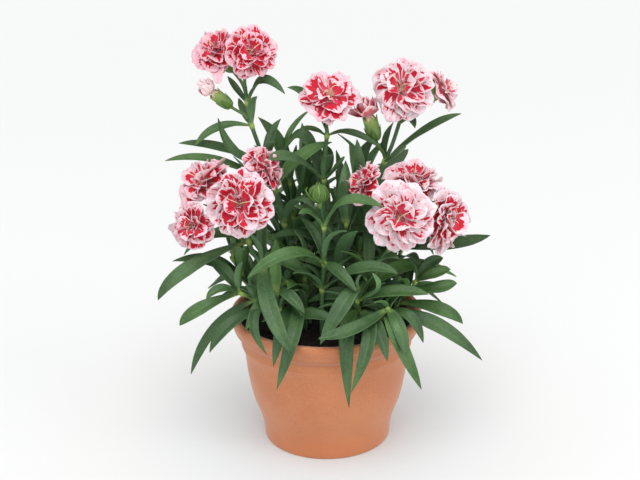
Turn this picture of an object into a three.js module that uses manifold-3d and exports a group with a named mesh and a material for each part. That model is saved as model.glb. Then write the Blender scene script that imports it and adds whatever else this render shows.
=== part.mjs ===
// A pot carnation (Dianthus caryophyllus) in a terracotta pot.
// Millimetres, +Z up, the pot's flat base centred on the origin, the front towards -Y.
import * as THREE from "three";
import { mergeVertices } from "three/addons/utils/BufferGeometryUtils.js";
import Module from "manifold-3d";

const wasm = await Module();
wasm.setup();

// ---------------------------------------------------------------- driving dimensions
// Pot: fired clay, a lipped rim over a second step, a slightly waisted foot.
const POT_HEIGHT = 92.1;
const POT_SIDES = 28;
const POT_FLOOR = 5;
const POT_OUTSIDE = [
  [42.8, 0],
  [43.6, 1.4],
  [44.2, 9],
  [46.3, 17.7],
  [50.0, 28],
  [52.9, 39],
  [55.3, 55],
  [56.4, 64],
  [58.3, 68.5],
  [58.4, 74.5],
  [59.4, 77.5],
  [62.8, 80],
  [64.2, 84.5],
  [65.0, 89.5],
  [63.6, POT_HEIGHT],
];
const POT_INSIDE = [
  [61.0, POT_HEIGHT],
  [59.8, 90],
  [55.2, 74],
  [42.0, 18],
  [39.0, 7],
  [36.0, POT_FLOOR],
];
const DRAIN_RADIUS = 5;
const DRAIN_CIRCLE = 22;
const DRAIN_COUNT = 3;
const DRAIN_SIDES = 8;
const DRAIN_TURN = 0.5;
const DRILL_MARGIN = 2;

// Compost: fills the pot to just below the rim, with a lumpy top.
const SOIL_SIDES = 18;
const SOIL_TOP = 84.6;
const SOIL_LUMP = 0.55;
const SOIL_WAVES = { long: [0.31, 0.17], cross: [-0.11, 0.37], short: 0.23 };
const SOIL_OUTSIDE = [
  [35.1, POT_FLOOR + 0.4],
  [37.7, 7.5],
  [49.8, 60.6],
];
const SOIL_RINGS = [57.1, 32];
const HOLE_FLOOR = 74;
const HOLE_TOP = 90;

// Green parts: the running gap between pieces, then stems, stalks and leaf outlines.
// An outline row is [share of the leaf's length, share of its full width].
const GAP = 0.35;
const WELD = 0.002;
const WELD_PASSES = 2;
const STEM_SIDES = 4;
const STEM_STEP = 24;
const CURVE_STEPS = 60;
const STALK_RADIUS = 1.15;
const STALK_STEP = 17;
const STALK_PULL = 0.4;
const STALK_BURIED = 1.5;
const STALK_RISE = 4;
const STEM_BURIED = 75;
const STEM_EXIT = 88;
const HERO_BLADE = [
  [0, 0.1],
  [0.2, 0.88],
  [0.48, 1],
  [0.76, 0.72],
];
const RULE_BLADE = [
  [0, 0.1],
  [0.3, 0.95],
  [0.68, 0.85],
];
const BLADE_KEEL = 1.5;
const KEEL_BELOW = 2 / 3;
const KEEL_AT_ROOT = 0.5;
const KEEL_GROWTH = 5;
const ROOT_OFFSET = 0.45;
const HERO_ROLL = 0.7;
const HERO_ROLL_SPREAD = 0.15;
const SPREAD = { azimuth: 16, length: 0.14, climb: 9, arch: 0.05, width: 0.14, roll: 0.35 };
const ARCH = 0.17;
const ARCH_BACK = 0.8;
const CHORD = 0.93;
const TOP_LEAF_WIDTH = 0.82;
const SAME_JOINT = 3;

// Calyx: a five-toothed green cup that holds the claws of the petals.
// Its rings are [radius, height], with the mouth at height 0.
const TEETH = 5;
const CALYX_LENGTH = 15;
const CALYX_MOUTH = 4.7;
const CALYX_RINGS = [
  [1.7, -CALYX_LENGTH],
  [3.6, 3 - CALYX_LENGTH],
  [CALYX_MOUTH, -6],
];
const TOOTH_RISE = 3.2;
const TOOTH_FLARE = 0.5;
const NOTCH_DROP = 0.6;
const CUP_DEPTH = 4;

// Petals: rows across a petal from its claw to its margin. s is the share of its length, reach the
// share of its full width, wave the depth of its flutes and pull how far its corners draw back.
const PETAL_HALF = 0.4;
const PETAL_ROOT = 1.6;
const PETAL_ROWS = [
  { s: 0.06, reach: 0.1, count: 3, wave: 0, pull: 0 },
  { s: 0.58, reach: 0.68, count: 3, wave: 0.02, pull: 0.06 },
  { s: 1, reach: 1, count: 5, wave: 0.05, pull: 0.22 },
];

// Core: the packed claws, from a plug in the calyx to a dome that the petals stand out of.
const CORE_SIDES = 6;
const PLUG_SIDE_GAP = 0.75;
const PLUG_FOOT_GAP = 0.95;
const DOME_OPEN = 0.6;
const DOME_SHUT = 1.35;

// ---------------------------------------------------------------- small helpers
const v3 = (x, y, z) => new THREE.Vector3(x, y, z);
const toVector = (p) => v3(p[0], p[1], p[2]);
const UP = v3(0, 0, 1);
const TAU = Math.PI * 2;

const DRAW_SEED = [127.1, 311.7, 43758.5453];

// A repeatable draw between -1 and 1 from two whole numbers.
function draw(a, b) {
  const wave = Math.sin(a * DRAW_SEED[0] + b * DRAW_SEED[1]) * DRAW_SEED[2];
  return (wave - Math.floor(wave)) * 2 - 1;
}

function lerp(a, b, t) {
  return a + (b - a) * t;
}

// A closed solid from a list of points and triangles.
function solidOf(points, triangles) {
  const vertProperties = new Float32Array(points.length * 3);
  points.forEach((p, i) => vertProperties.set([p.x, p.y, p.z], i * 3));
  const triVerts = new Uint32Array(triangles.flat());
  return new wasm.Manifold(new wasm.Mesh({ numProp: 3, vertProperties, triVerts }));
}

// A skew quad as two triangles, folded along the diagonal that stands out, so that a twisted blade
// never dips through its other face.
function quad(points, a, b, c, d) {
  const ab = points[b].clone().sub(points[a]);
  const ac = points[c].clone().sub(points[a]);
  const ad = points[d].clone().sub(points[a]);
  if (ab.cross(ac).dot(ad) <= 0) return [[a, b, c], [a, c, d]];
  return [[a, b, d], [b, c, d]];
}

// Rings of equal count joined in order; a ring of one point closes to a tip, other ends get a fan.
// Seen from the far end, each ring runs anticlockwise.
function loft(rings) {
  const points = [];
  const triangles = [];
  const starts = rings.map((ring) => {
    const start = points.length;
    points.push(...ring);
    return start;
  });
  const sides = Math.max(...rings.map((ring) => ring.length));
  for (let k = 0; k + 1 < rings.length; k++) {
    const low = starts[k];
    const high = starts[k + 1];
    for (let i = 0; i < sides; i++) {
      const j = (i + 1) % sides;
      if (rings[k].length === 1) triangles.push([low, high + j, high + i]);
      else if (rings[k + 1].length === 1) triangles.push([low + i, low + j, high]);
      else triangles.push(...quad(points, low + i, low + j, high + j, high + i));
    }
  }
  if (rings[0].length > 1) {
    for (let i = 1; i + 1 < sides; i++) triangles.push([0, i + 1, i]);
  }
  const last = starts[rings.length - 1];
  if (rings[rings.length - 1].length > 1) {
    for (let i = 1; i + 1 < sides; i++) triangles.push([last, last + i, last + i + 1]);
  }
  return solidOf(points, triangles);
}

// Two directions square to an axis, for rings around it.
const NEARLY_ALONG = 0.9;

function frameAround(axis) {
  const across = Math.abs(axis.y) > NEARLY_ALONG ? v3(1, 0, 0) : v3(0, 1, 0);
  const u = across.clone().cross(axis).normalize();
  const v = axis.clone().cross(u).normalize();
  return [u, v];
}

function ringAt(centre, axis, radius, sides, turn = 0) {
  const [u, v] = frameAround(axis);
  return Array.from({ length: sides }, (_, i) => {
    const angle = turn + (i / sides) * TAU;
    return centre
      .clone()
      .addScaledVector(u, radius * Math.cos(angle))
      .addScaledVector(v, radius * Math.sin(angle));
  });
}

// The largest closed body of a solid, with its sealed hollows filled and its scraps dropped.
function largest(solid) {
  return solid.decompose().reduce((best, one) => (one.volume() > best.volume() ? one : best));
}

function geometryOf(solid) {
  const mesh = solid.getMesh();
  const positions = new Float32Array(mesh.numVert * 3);
  for (let i = 0; i < mesh.numVert; i++) {
    positions.set(mesh.vertProperties.subarray(i * mesh.numProp, i * mesh.numProp + 3), i * 3);
  }
  const geometry = new THREE.BufferGeometry();
  geometry.setAttribute("position", new THREE.BufferAttribute(positions, 3));
  geometry.setIndex(new THREE.BufferAttribute(mesh.triVerts, 1));
  return geometry;
}

// Points closer than the weld distance become one, and what that pinches off is dropped.
function settled(solid) {
  let body = largest(solid);
  for (let pass = 0; pass < WELD_PASSES; pass++) {
    const merged = mergeVertices(geometryOf(body), WELD);
    const vertProperties = merged.getAttribute("position").array;
    const triVerts = new Uint32Array(merged.getIndex().array);
    body = largest(new wasm.Manifold(new wasm.Mesh({ numProp: 3, vertProperties, triVerts })));
  }
  return body;
}

function boxesMeet(a, b) {
  return [0, 1, 2].every((i) => a.min[i] <= b.max[i] && b.min[i] <= a.max[i]);
}

// Everything placed so far, so that what grows later can be bent clear of it.
const placed = [];

function keep(node, solid) {
  placed.push({ node, solid, box: solid.boundingBox() });
}

// Whether a solid meets nothing of the other nodes, or with own set nothing of its own node.
function isClear(node, fat, own = false) {
  const box = fat.boundingBox();
  return placed
    .filter((other) => (other.node === node) === own && boxesMeet(box, other.box))
    .every((other) => fat.intersect(other.solid).isEmpty());
}

// ---------------------------------------------------------------- pot and soil
function potSolid() {
  const profile = [[0, 0], ...POT_OUTSIDE, ...POT_INSIDE, [0, POT_FLOOR]];
  const outline = profile.map(([radius, z]) => new THREE.Vector2(radius, z));
  const turned = new THREE.LatheGeometry(outline, POT_SIDES);
  let pot = solidOfGeometry(turned.rotateX(Math.PI / 2));
  for (let i = 0; i < DRAIN_COUNT; i++) {
    const angle = (i / DRAIN_COUNT) * TAU + DRAIN_TURN;
    const x = DRAIN_CIRCLE * Math.cos(angle);
    const y = DRAIN_CIRCLE * Math.sin(angle);
    const drill = [
      ringAt(v3(x, y, -DRILL_MARGIN), UP, DRAIN_RADIUS, DRAIN_SIDES),
      ringAt(v3(x, y, POT_FLOOR + DRILL_MARGIN), UP, DRAIN_RADIUS, DRAIN_SIDES),
    ];
    pot = pot.subtract(loft(drill));
  }
  return pot;
}

// A three.js geometry as a solid, with the points that its seams repeat joined.
function solidOfGeometry(geometry) {
  const position = geometry.getAttribute("position");
  const index = geometry.getIndex();
  const points = [];
  const seen = new Map();
  const joined = Array.from({ length: position.count }, (_, i) => {
    const p = v3(position.getX(i), position.getY(i), position.getZ(i));
    const key = [p.x, p.y, p.z].map((c) => Math.round(c * 1000)).join();
    if (!seen.has(key)) {
      seen.set(key, points.length);
      points.push(p);
    }
    return seen.get(key);
  });
  const triangles = [];
  for (let i = 0; i < index.count; i += 3) {
    const corner = [0, 1, 2].map((k) => joined[index.getX(i + k)]);
    if (new Set(corner).size === 3) triangles.push(corner);
  }
  return solidOf(points, triangles);
}

function soilHeight(x, y) {
  const { long, cross, short } = SOIL_WAVES;
  const swell = Math.sin(x * long[0] + y * long[1]);
  const ripple = Math.sin(x * cross[0] + y * cross[1]) * Math.cos(x * short);
  return SOIL_TOP + SOIL_LUMP * (swell + ripple);
}

function soilSolid(stems) {
  const sides = SOIL_OUTSIDE.map(([radius, z]) => ringAt(v3(0, 0, z), UP, radius, SOIL_SIDES));
  const top = SOIL_RINGS.map((radius) =>
    ringAt(v3(0, 0, 0), UP, radius, SOIL_SIDES).map((p) => p.setZ(soilHeight(p.x, p.y))),
  );
  let soil = loft([...sides, ...top, [v3(0, 0, soilHeight(0, 0))]]);
  for (const stem of stems) {
    const foot = toVector(stem.path[0]);
    const radius = stem.thickness / 2 + GAP;
    const hole = [
      ringAt(foot.clone().setZ(HOLE_FLOOR), UP, radius, STEM_SIDES),
      ringAt(foot.clone().setZ(HOLE_TOP), UP, radius, STEM_SIDES),
    ];
    soil = soil.subtract(loft(hole));
  }
  return soil;
}

// ---------------------------------------------------------------- stems
function curveOf(path) {
  return new THREE.CatmullRomCurve3(path.map(toVector), false, "catmullrom", 0.5);
}

// How far along a rising curve, from 0 to 1, its height first reaches z.
function shareAtHeight(curve, z) {
  for (let i = 1; i <= CURVE_STEPS; i++) {
    const low = curve.getPoint((i - 1) / CURVE_STEPS).z;
    const high = curve.getPoint(i / CURVE_STEPS).z;
    if (high >= z) return (i - 1 + Math.max(0, (z - low) / (high - low))) / CURVE_STEPS;
  }
  return 1;
}

function pointAtHeight(curve, z) {
  return curve.getPoint(shareAtHeight(curve, z));
}

// The buried foot, then a ring at every joint and at even steps between the joints.
function stemSolid(stem) {
  const curve = curveOf(stem.path);
  const radius = stem.thickness / 2;
  const foot = toVector(stem.path[0]);
  const rings = [
    ringAt(foot.clone().setZ(STEM_BURIED), UP, radius, STEM_SIDES),
    ringAt(foot, UP, radius, STEM_SIDES),
  ];
  const stops = [0, ...stem.joints.map((z) => shareAtHeight(curve, z)), 1];
  for (let k = 0; k + 1 < stops.length; k++) {
    const gap = curve.getPoint(stops[k]).distanceTo(curve.getPoint(stops[k + 1]));
    const steps = Math.ceil(gap / STEM_STEP);
    for (let i = 1; i <= steps; i++) {
      const share = lerp(stops[k], stops[k + 1], i / steps);
      const here = radius * lerp(1, stem.taper, share);
      rings.push(ringAt(curve.getPoint(share), curve.getTangent(share), here, STEM_SIDES));
    }
  }
  return loft(rings);
}

// A flower stalk from a point on a stem to the foot of a calyx.
function stalkSolid(from, rise, to, axis, radius) {
  const reach = from.distanceTo(to) * STALK_PULL;
  const leave = from.clone().addScaledVector(rise, reach);
  const arrive = to.clone().addScaledVector(axis, -reach);
  const end = to.clone().addScaledVector(axis, STALK_BURIED);
  const curve = new THREE.CubicBezierCurve3(from, leave, arrive, end);
  const steps = Math.max(2, Math.round(curve.getLength() / STALK_STEP));
  const rings = Array.from({ length: steps + 1 }, (_, i) =>
    ringAt(curve.getPoint(i / steps), curve.getTangent(i / steps), radius, STEM_SIDES),
  );
  return loft(rings);
}

// ---------------------------------------------------------------- calyces
function mouthOf(head) {
  const facing = toVector(head.facing).normalize();
  return toVector(head.centre).addScaledVector(facing, -head.radius * head.seat);
}

function calyxSolid(head) {
  const axis = toVector(head.facing).normalize();
  const mouth = mouthOf(head);
  const size = head.calyx;
  const at = (h) => mouth.clone().addScaledVector(axis, h * size);
  const [u, v] = frameAround(axis);
  const points = CALYX_RINGS.flatMap(([radius, h]) => ringAt(at(h), axis, radius * size, TEETH));
  for (let i = 0; i < TEETH * 2; i++) {
    const angle = (i / (TEETH * 2)) * TAU;
    const tooth = i % 2 === 0;
    const radius = (tooth ? CALYX_MOUTH + TOOTH_FLARE : CALYX_MOUTH) * size;
    points.push(
      at(tooth ? TOOTH_RISE : -NOTCH_DROP)
        .addScaledVector(u, radius * Math.cos(angle))
        .addScaledVector(v, radius * Math.sin(angle)),
    );
  }
  points.push(at(-CUP_DEPTH));
  const triangles = [];
  for (let i = 0; i < TEETH; i++) {
    const j = (i + 1) % TEETH;
    const rim = 3 * TEETH;
    for (const low of [0, TEETH]) {
      const high = low + TEETH;
      triangles.push([low + i, low + j, high + j], [low + i, high + j, high + i]);
    }
    const wall = 2 * TEETH;
    const tooth = rim + 2 * i;
    const next = rim + 2 * j;
    const floor = rim + 2 * TEETH;
    triangles.push([wall + i, wall + j, tooth + 1]);
    triangles.push([wall + i, tooth + 1, tooth]);
    triangles.push([wall + j, next, tooth + 1]);
    triangles.push([tooth, tooth + 1, floor]);
    triangles.push([tooth + 1, next, floor]);
    if (i > 0 && i + 1 < TEETH) triangles.push([0, j, i]);
  }
  return solidOf(points, triangles);
}

// A green bud still closed: a fat barrel whose five teeth meet over it.
function greenBudSolid(bud) {
  const axis = toVector(bud.facing).normalize();
  const foot = toVector(bud.foot);
  const at = (h) => foot.clone().addScaledVector(axis, h);
  const sides = TEETH * 2;
  const rings = bud.profile.map(([radius, h]) => ringAt(at(h), axis, radius, sides));
  const rim = bud.teeth;
  const toothed = ringAt(at(rim.height), axis, rim.radius, sides).map((p, i) =>
    i % 2 === 0 ? p.addScaledVector(axis, rim.rise) : p,
  );
  const inside = ringAt(at(rim.height + NOTCH_DROP), axis, bud.petals, sides);
  return loft([...rings, toothed, inside, [at(bud.tip)]]);
}

// ---------------------------------------------------------------- leaves
// One leaf: a folded blade along a curve from the joint over its middle to its tip.
// swing, lift and share are the nudge that bends it clear; fat grows it for the clearance test.
function bladeOf(leaf, nudge, fat, outline = leaf.outline) {
  const base = leaf.base.clone().addScaledVector(leaf.leave, ROOT_OFFSET);
  const turn = (p) => {
    const arm = p.clone().sub(base).multiplyScalar(nudge.share);
    const flat = Math.hypot(arm.x, arm.y);
    return arm
      .applyAxisAngle(UP, nudge.swing)
      .add(v3(0, 0, (nudge.lift * flat) / Math.max(leaf.reach, 1)))
      .add(base);
  };
  const middle = turn(leaf.middle);
  const tip = turn(leaf.tip);
  const heading = Math.atan2(tip.y - base.y, tip.x - base.x);
  const side = v3(-Math.sin(heading), Math.cos(heading), 0);
  const bend = middle
    .clone()
    .multiplyScalar(2)
    .addScaledVector(base, -0.5)
    .addScaledVector(tip, -0.5);
  const curve = new THREE.QuadraticBezierCurve3(base, bend, tip);
  const rings = outline.map(([s, wide]) => {
    const along = curve.getTangent(s);
    const across = side.clone().applyAxisAngle(along, leaf.roll * Math.min(1, s * 2));
    const face = along.clone().cross(across).normalize();
    const half = (leaf.width * wide) / 2 + fat;
    const p = curve.getPoint(s);
    const deep = BLADE_KEEL * Math.min(1, KEEL_AT_ROOT + s * KEEL_GROWTH);
    const top = p.clone().addScaledVector(face, BLADE_KEEL * (1 - KEEL_BELOW) + fat);
    const keel = p.clone().addScaledVector(face, -deep * KEEL_BELOW - fat);
    return [top.clone().addScaledVector(across, half), top.clone().addScaledVector(across, -half), keel];
  });
  const end = tip.clone().addScaledVector(curve.getTangent(1), fat);
  return loft([...rings, [end]]);
}

// The nudges that bend a leaf clear, the least first: a swing, a lift of the tip, a shorter leaf.
const DEG = Math.PI / 180;
const SWINGS = [0, 7, -7, 14, -14, 22, -22, 32, -32, 44, -44];
const LIFTS = [0, 5, -5, 10, 16, 24];
const SHARES = [1, 0.88, 0.74, 0.6];
const LIFT_COST = 2.1;
const SHARE_COST = 7.3;
const TRIES = 24;
const NUDGES = SHARES.flatMap((share, k) =>
  LIFTS.flatMap((lift, j) =>
    SWINGS.map((swing, i) => ({
      share,
      lift,
      swing: swing * DEG,
      cost: i + j * LIFT_COST + k * SHARE_COST,
    })),
  ),
).sort((a, b) => a.cost - b.cost);

// The first nudge that leaves the leaf clear of every other node, and beyond its first station of
// its own stem and sisters too if any nudge does; nothing where no nudge is clear.
function growLeaf(node, leaf) {
  const open = NUDGES.filter((nudge) => isClear(node, bladeOf(leaf, nudge, GAP)));
  const free = (nudge) => isClear(node, bladeOf(leaf, nudge, GAP, leaf.outline.slice(1)), true);
  const nudge = (leaf.free && open.slice(0, TRIES).find(free)) || open[0];
  if (!nudge) return null;
  const blade = bladeOf(leaf, nudge, 0);
  keep(node, blade);
  return blade;
}

// A leaf shaped by hand: its joint's height, middle, tip and width.
function heroLeaf(curve, [height, middle, tip, width], seed) {
  const base = pointAtHeight(curve, height);
  const end = toVector(tip);
  const aside = Math.atan2(end.x - base.x, Math.abs(end.y - base.y));
  return {
    base,
    middle: toVector(middle),
    tip: end,
    outline: HERO_BLADE,
    width,
    roll: HERO_ROLL * Math.sin(aside) + draw(seed, 3) * HERO_ROLL_SPREAD,
    reach: Math.hypot(end.x - base.x, end.y - base.y),
    leave: v3(middle[0] - base.x, middle[1] - base.y, 0).normalize(),
  };
}

// The leaves that a joint of a stem lacks: it carries a pair on opposite sides, a quarter turn on
// from the pair below, or the partner of the one leaf shaped by hand.
function ruleLeaves(stem, curve, order, seed, heroes) {
  const height = stem.joints[order];
  const base = pointAtHeight(curve, height);
  const share = order / Math.max(stem.joints.length - 1, 1);
  const sisters = heroes.filter((hero) => Math.abs(hero.base.z - height) < SAME_JOINT);
  const first = sisters.length
    ? Math.atan2(sisters[0].leave.y, sisters[0].leave.x) / DEG
    : stem.turn + order * 90;
  return [0, 1].slice(sisters.length).map((one) => {
    const key = seed + order * 2 + one;
    const azimuth = (first + one * 180 + draw(key, 1) * SPREAD.azimuth) * DEG;
    const length = lerp(stem.leaf[0], stem.leaf[1], share) * (1 + draw(key, 2) * SPREAD.length);
    const climb = (lerp(stem.climb[0], stem.climb[1], share) + draw(key, 4) * SPREAD.climb) * DEG;
    const arch = length * (ARCH + SPREAD.arch * draw(key, 5));
    const heading = v3(Math.cos(azimuth), Math.sin(azimuth), 0);
    const chord = heading.clone().multiplyScalar(Math.cos(climb)).setZ(Math.sin(climb));
    const tip = base.clone().addScaledVector(chord, length * CHORD);
    const middle = base
      .clone()
      .lerp(tip, 0.5)
      .add(v3(0, 0, arch * Math.cos(climb)))
      .addScaledVector(heading, -arch * Math.sin(climb) * ARCH_BACK);
    return {
      base,
      middle,
      tip,
      outline: RULE_BLADE,
      width: stem.width * (1 + draw(key, 6) * SPREAD.width) * lerp(1, TOP_LEAF_WIDTH, share),
      roll: stem.roll * heading.x + draw(key, 7) * SPREAD.roll,
      reach: length * Math.cos(climb),
      leave: heading,
      free: true,
    };
  });
}

// ---------------------------------------------------------------- petals
// One petal of a head: a narrow claw that opens to a fan with a toothed, waved margin.
// Heights and radii are along and around the head's axis, measured from the calyx mouth.
function petalOf(head, petal, nudge, fat) {
  const axis = toVector(head.facing).normalize();
  const mouth = mouthOf(head);
  const [u, v] = frameAround(axis);
  const angle = petal.angle + nudge.swing;
  const out = u.clone().multiplyScalar(Math.cos(angle)).addScaledVector(v, Math.sin(angle));
  const along = out.clone().cross(axis);
  const size = head.radius;
  const root = new THREE.Vector2(PETAL_ROOT, petal.root);
  const bend = new THREE.Vector2(petal.bend[0] * size, petal.bend[1] * size);
  const tip = new THREE.Vector2(
    petal.tip[0] * size * nudge.share,
    petal.tip[1] * size + nudge.lift * size,
  );
  const curve = new THREE.QuadraticBezierCurve(root, bend, tip);
  const point = (s, t, wave, thick) => {
    const c = curve.getPoint(s);
    const d = curve.getTangent(s);
    const rise = wave * size + thick;
    const radius = c.x - d.y * rise;
    const height = c.y + d.x * rise;
    return mouth
      .clone()
      .addScaledVector(out, radius)
      .addScaledVector(axis, height)
      .addScaledVector(along, t);
  };
  const half = (petal.width * size) / 2;
  const flute = (i) => (i % 2 === 0 ? 1 : -1);
  const thick = PETAL_HALF + fat;
  const points = [];
  const faces = PETAL_ROWS.map((row, k) =>
    Array.from({ length: row.count }, (_, i) => {
      const t = (i / (row.count - 1)) * 2 - 1;
      const last = k === PETAL_ROWS.length - 1;
      const s = row.s * (1 - row.pull * t * t) + (last ? fat / size : 0);
      const wave = row.wave * flute(i + petal.phase) * petal.ruffle;
      const across = t * (half * row.reach + fat);
      const ends = i === 0 || i === row.count - 1;
      if (ends || last) {
        points.push(point(s, across, wave, 0));
        return [points.length - 1, points.length - 1];
      }
      points.push(point(s, across, wave, thick), point(s, across, wave, -thick));
      return [points.length - 2, points.length - 1];
    }),
  );
  const triangles = [];
  const add = (a, b, c, side) => {
    const corner = side === 0 ? [a, b, c] : [a, c, b];
    if (new Set(corner).size === 3) triangles.push(corner);
  };
  for (const side of [0, 1]) {
    for (let k = 0; k + 1 < faces.length; k++) {
      const low = faces[k].map((pair) => pair[side]);
      const high = faces[k + 1].map((pair) => pair[side]);
      const offset = (high.length - low.length) / 2;
      for (let i = 0; i < offset; i++) {
        add(low[0], high[i + 1], high[i], side);
        const end = high.length - 1 - i;
        add(low[low.length - 1], high[end], high[end - 1], side);
      }
      for (let i = 0; i + 1 < low.length; i++) {
        add(low[i], low[i + 1], high[i + offset], side);
        add(low[i + 1], high[i + offset + 1], high[i + offset], side);
      }
    }
  }
  const [left, middle, right] = faces[0];
  triangles.push([left[0], middle[1], middle[0]]);
  triangles.push([right[0], middle[0], middle[1]]);
  return solidOf(points, triangles);
}

// The nudges that keep a petal off its neighbours, the least first.
const PETAL_SWINGS = [0, 8, -8, 16, -16];
const PETAL_LIFTS = [0, 0.1, 0.2, -0.1, 0.32];
const PETAL_SHARES = [1, 0.9, 0.8, 0.7];
const PETAL_LIFT_COST = 1.6;
const PETAL_SHARE_COST = 3.1;
const PETAL_NUDGES = PETAL_SHARES.flatMap((share, k) =>
  PETAL_LIFTS.flatMap((lift, j) =>
    PETAL_SWINGS.map((swing, i) => ({
      share,
      lift,
      swing: swing * DEG,
      cost: i + j * PETAL_LIFT_COST + k * PETAL_SHARE_COST,
    })),
  ),
).sort((a, b) => a.cost - b.cost);

// The layers of an open head, from the spread outer petals to the standing inner ones.
const OPEN_LAYERS = [
  { root: 3.9, bend: [0.5, 0.36], tip: [1, 0.16], width: 1.24, ruffle: 1 },
  { root: 4.6, bend: [0.36, 0.52], tip: [0.8, 0.46], width: 1.08, ruffle: 1.2 },
  { root: 5.4, bend: [0.16, 0.66], tip: [0.46, 0.78], width: 0.7, ruffle: 1.3 },
];
const SHUT_LAYERS = [
  { root: 3.9, bend: [0.75, 0.5], tip: [0.62, 1.55], width: 1.1, ruffle: 0.7 },
  { root: 4.6, bend: [0.6, 0.7], tip: [0.36, 1.85], width: 0.8, ruffle: 0.9 },
  { root: 5.4, bend: [0.3, 0.9], tip: [0.15, 2.0], width: 0.6, ruffle: 0.9 },
];

const PETAL_SPREAD = { angle: 0.1, length: 0.06, lift: 0.05, width: 0.08 };
const ODD_PETAL = { root: 0.05, lift: 0.06 };

function petalsOf(head, seed) {
  const petals = [];
  head.petals.forEach((count, layer) => {
    const open = OPEN_LAYERS[layer];
    const shut = SHUT_LAYERS[layer];
    const mix = (key) => lerp(shut[key], open[key], head.open);
    const mixPair = (key) => [0, 1].map((i) => lerp(shut[key][i], open[key][i], head.open));
    for (let i = 0; i < count; i++) {
      const key = seed * 31 + layer * 11 + i;
      const [tipOut, tipUp] = mixPair("tip");
      const odd = i % 2;
      const out = tipOut * (1 + PETAL_SPREAD.length * draw(key, 2));
      const up = tipUp + (ODD_PETAL.lift * odd + PETAL_SPREAD.lift * draw(key, 3));
      petals.push({
        angle: ((i + 0.5 * layer + PETAL_SPREAD.angle * draw(key, 1)) / count) * TAU + seed,
        root: mix("root") + ODD_PETAL.root * odd,
        bend: mixPair("bend"),
        tip: [out, up],
        width: mix("width") * (1 + PETAL_SPREAD.width * draw(key, 4)),
        ruffle: mix("ruffle"),
        phase: odd,
      });
    }
  });
  return petals;
}

// The claws of the petals, packed into a plug that sits in the calyx, and the dome over it.
function coreSolid(head) {
  const axis = toVector(head.facing).normalize();
  const mouth = mouthOf(head);
  const size = head.calyx;
  const wide = head.radius;
  const neck = (CALYX_MOUTH + TOOTH_FLARE - PLUG_SIDE_GAP) * size;
  const foot = -(CUP_DEPTH - PLUG_FOOT_GAP) * size;
  const top = lerp(DOME_SHUT, DOME_OPEN, head.open) * wide;
  const at = (h) => mouth.clone().addScaledVector(axis, h);
  const ring = (h, radius) => ringAt(at(h), axis, radius, CORE_SIDES);
  return loft([
    [at(foot)],
    ring(TOOTH_RISE * size, neck),
    ring(lerp(TOOTH_RISE * size, top, 0.45), lerp(neck, 0.5 * wide, 0.8)),
    ring(top * 0.86, 0.3 * wide),
    [at(top)],
  ]);
}

function bloomSolid(head, seed) {
  const node = head.name;
  const core = coreSolid(head);
  const grown = [core];
  for (const petal of petalsOf(head, seed)) {
    const nudge = PETAL_NUDGES.find((one) => isClear(node, petalOf(head, petal, one, GAP)));
    if (nudge) grown.push(petalOf(head, petal, nudge, 0));
  }
  const bloom = settled(grown.reduce((all, one) => all.add(one)));
  keep(node, bloom);
  return bloom;
}

// ---------------------------------------------------------------- the plant
// Stems: a path from the soil up, the heights of the joints, the leaves shaped by hand, and the
// rule for the other leaves: first turn, lengths and climb angles from the lowest to the highest.
const FLOWER_STEM = { thickness: 3.1, taper: 0.85, width: 10, leaf: [62, 44], climb: [22, 54], roll: 0.5 };
const SHOOT = { thickness: 2.7, taper: 0.8, width: 11, leaf: [62, 46], climb: [4, 56], roll: 0.7 };
const BACK_SHOOT = { ...SHOOT, leaf: [60, 52], climb: [8, 66], roll: -0.5 };

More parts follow.
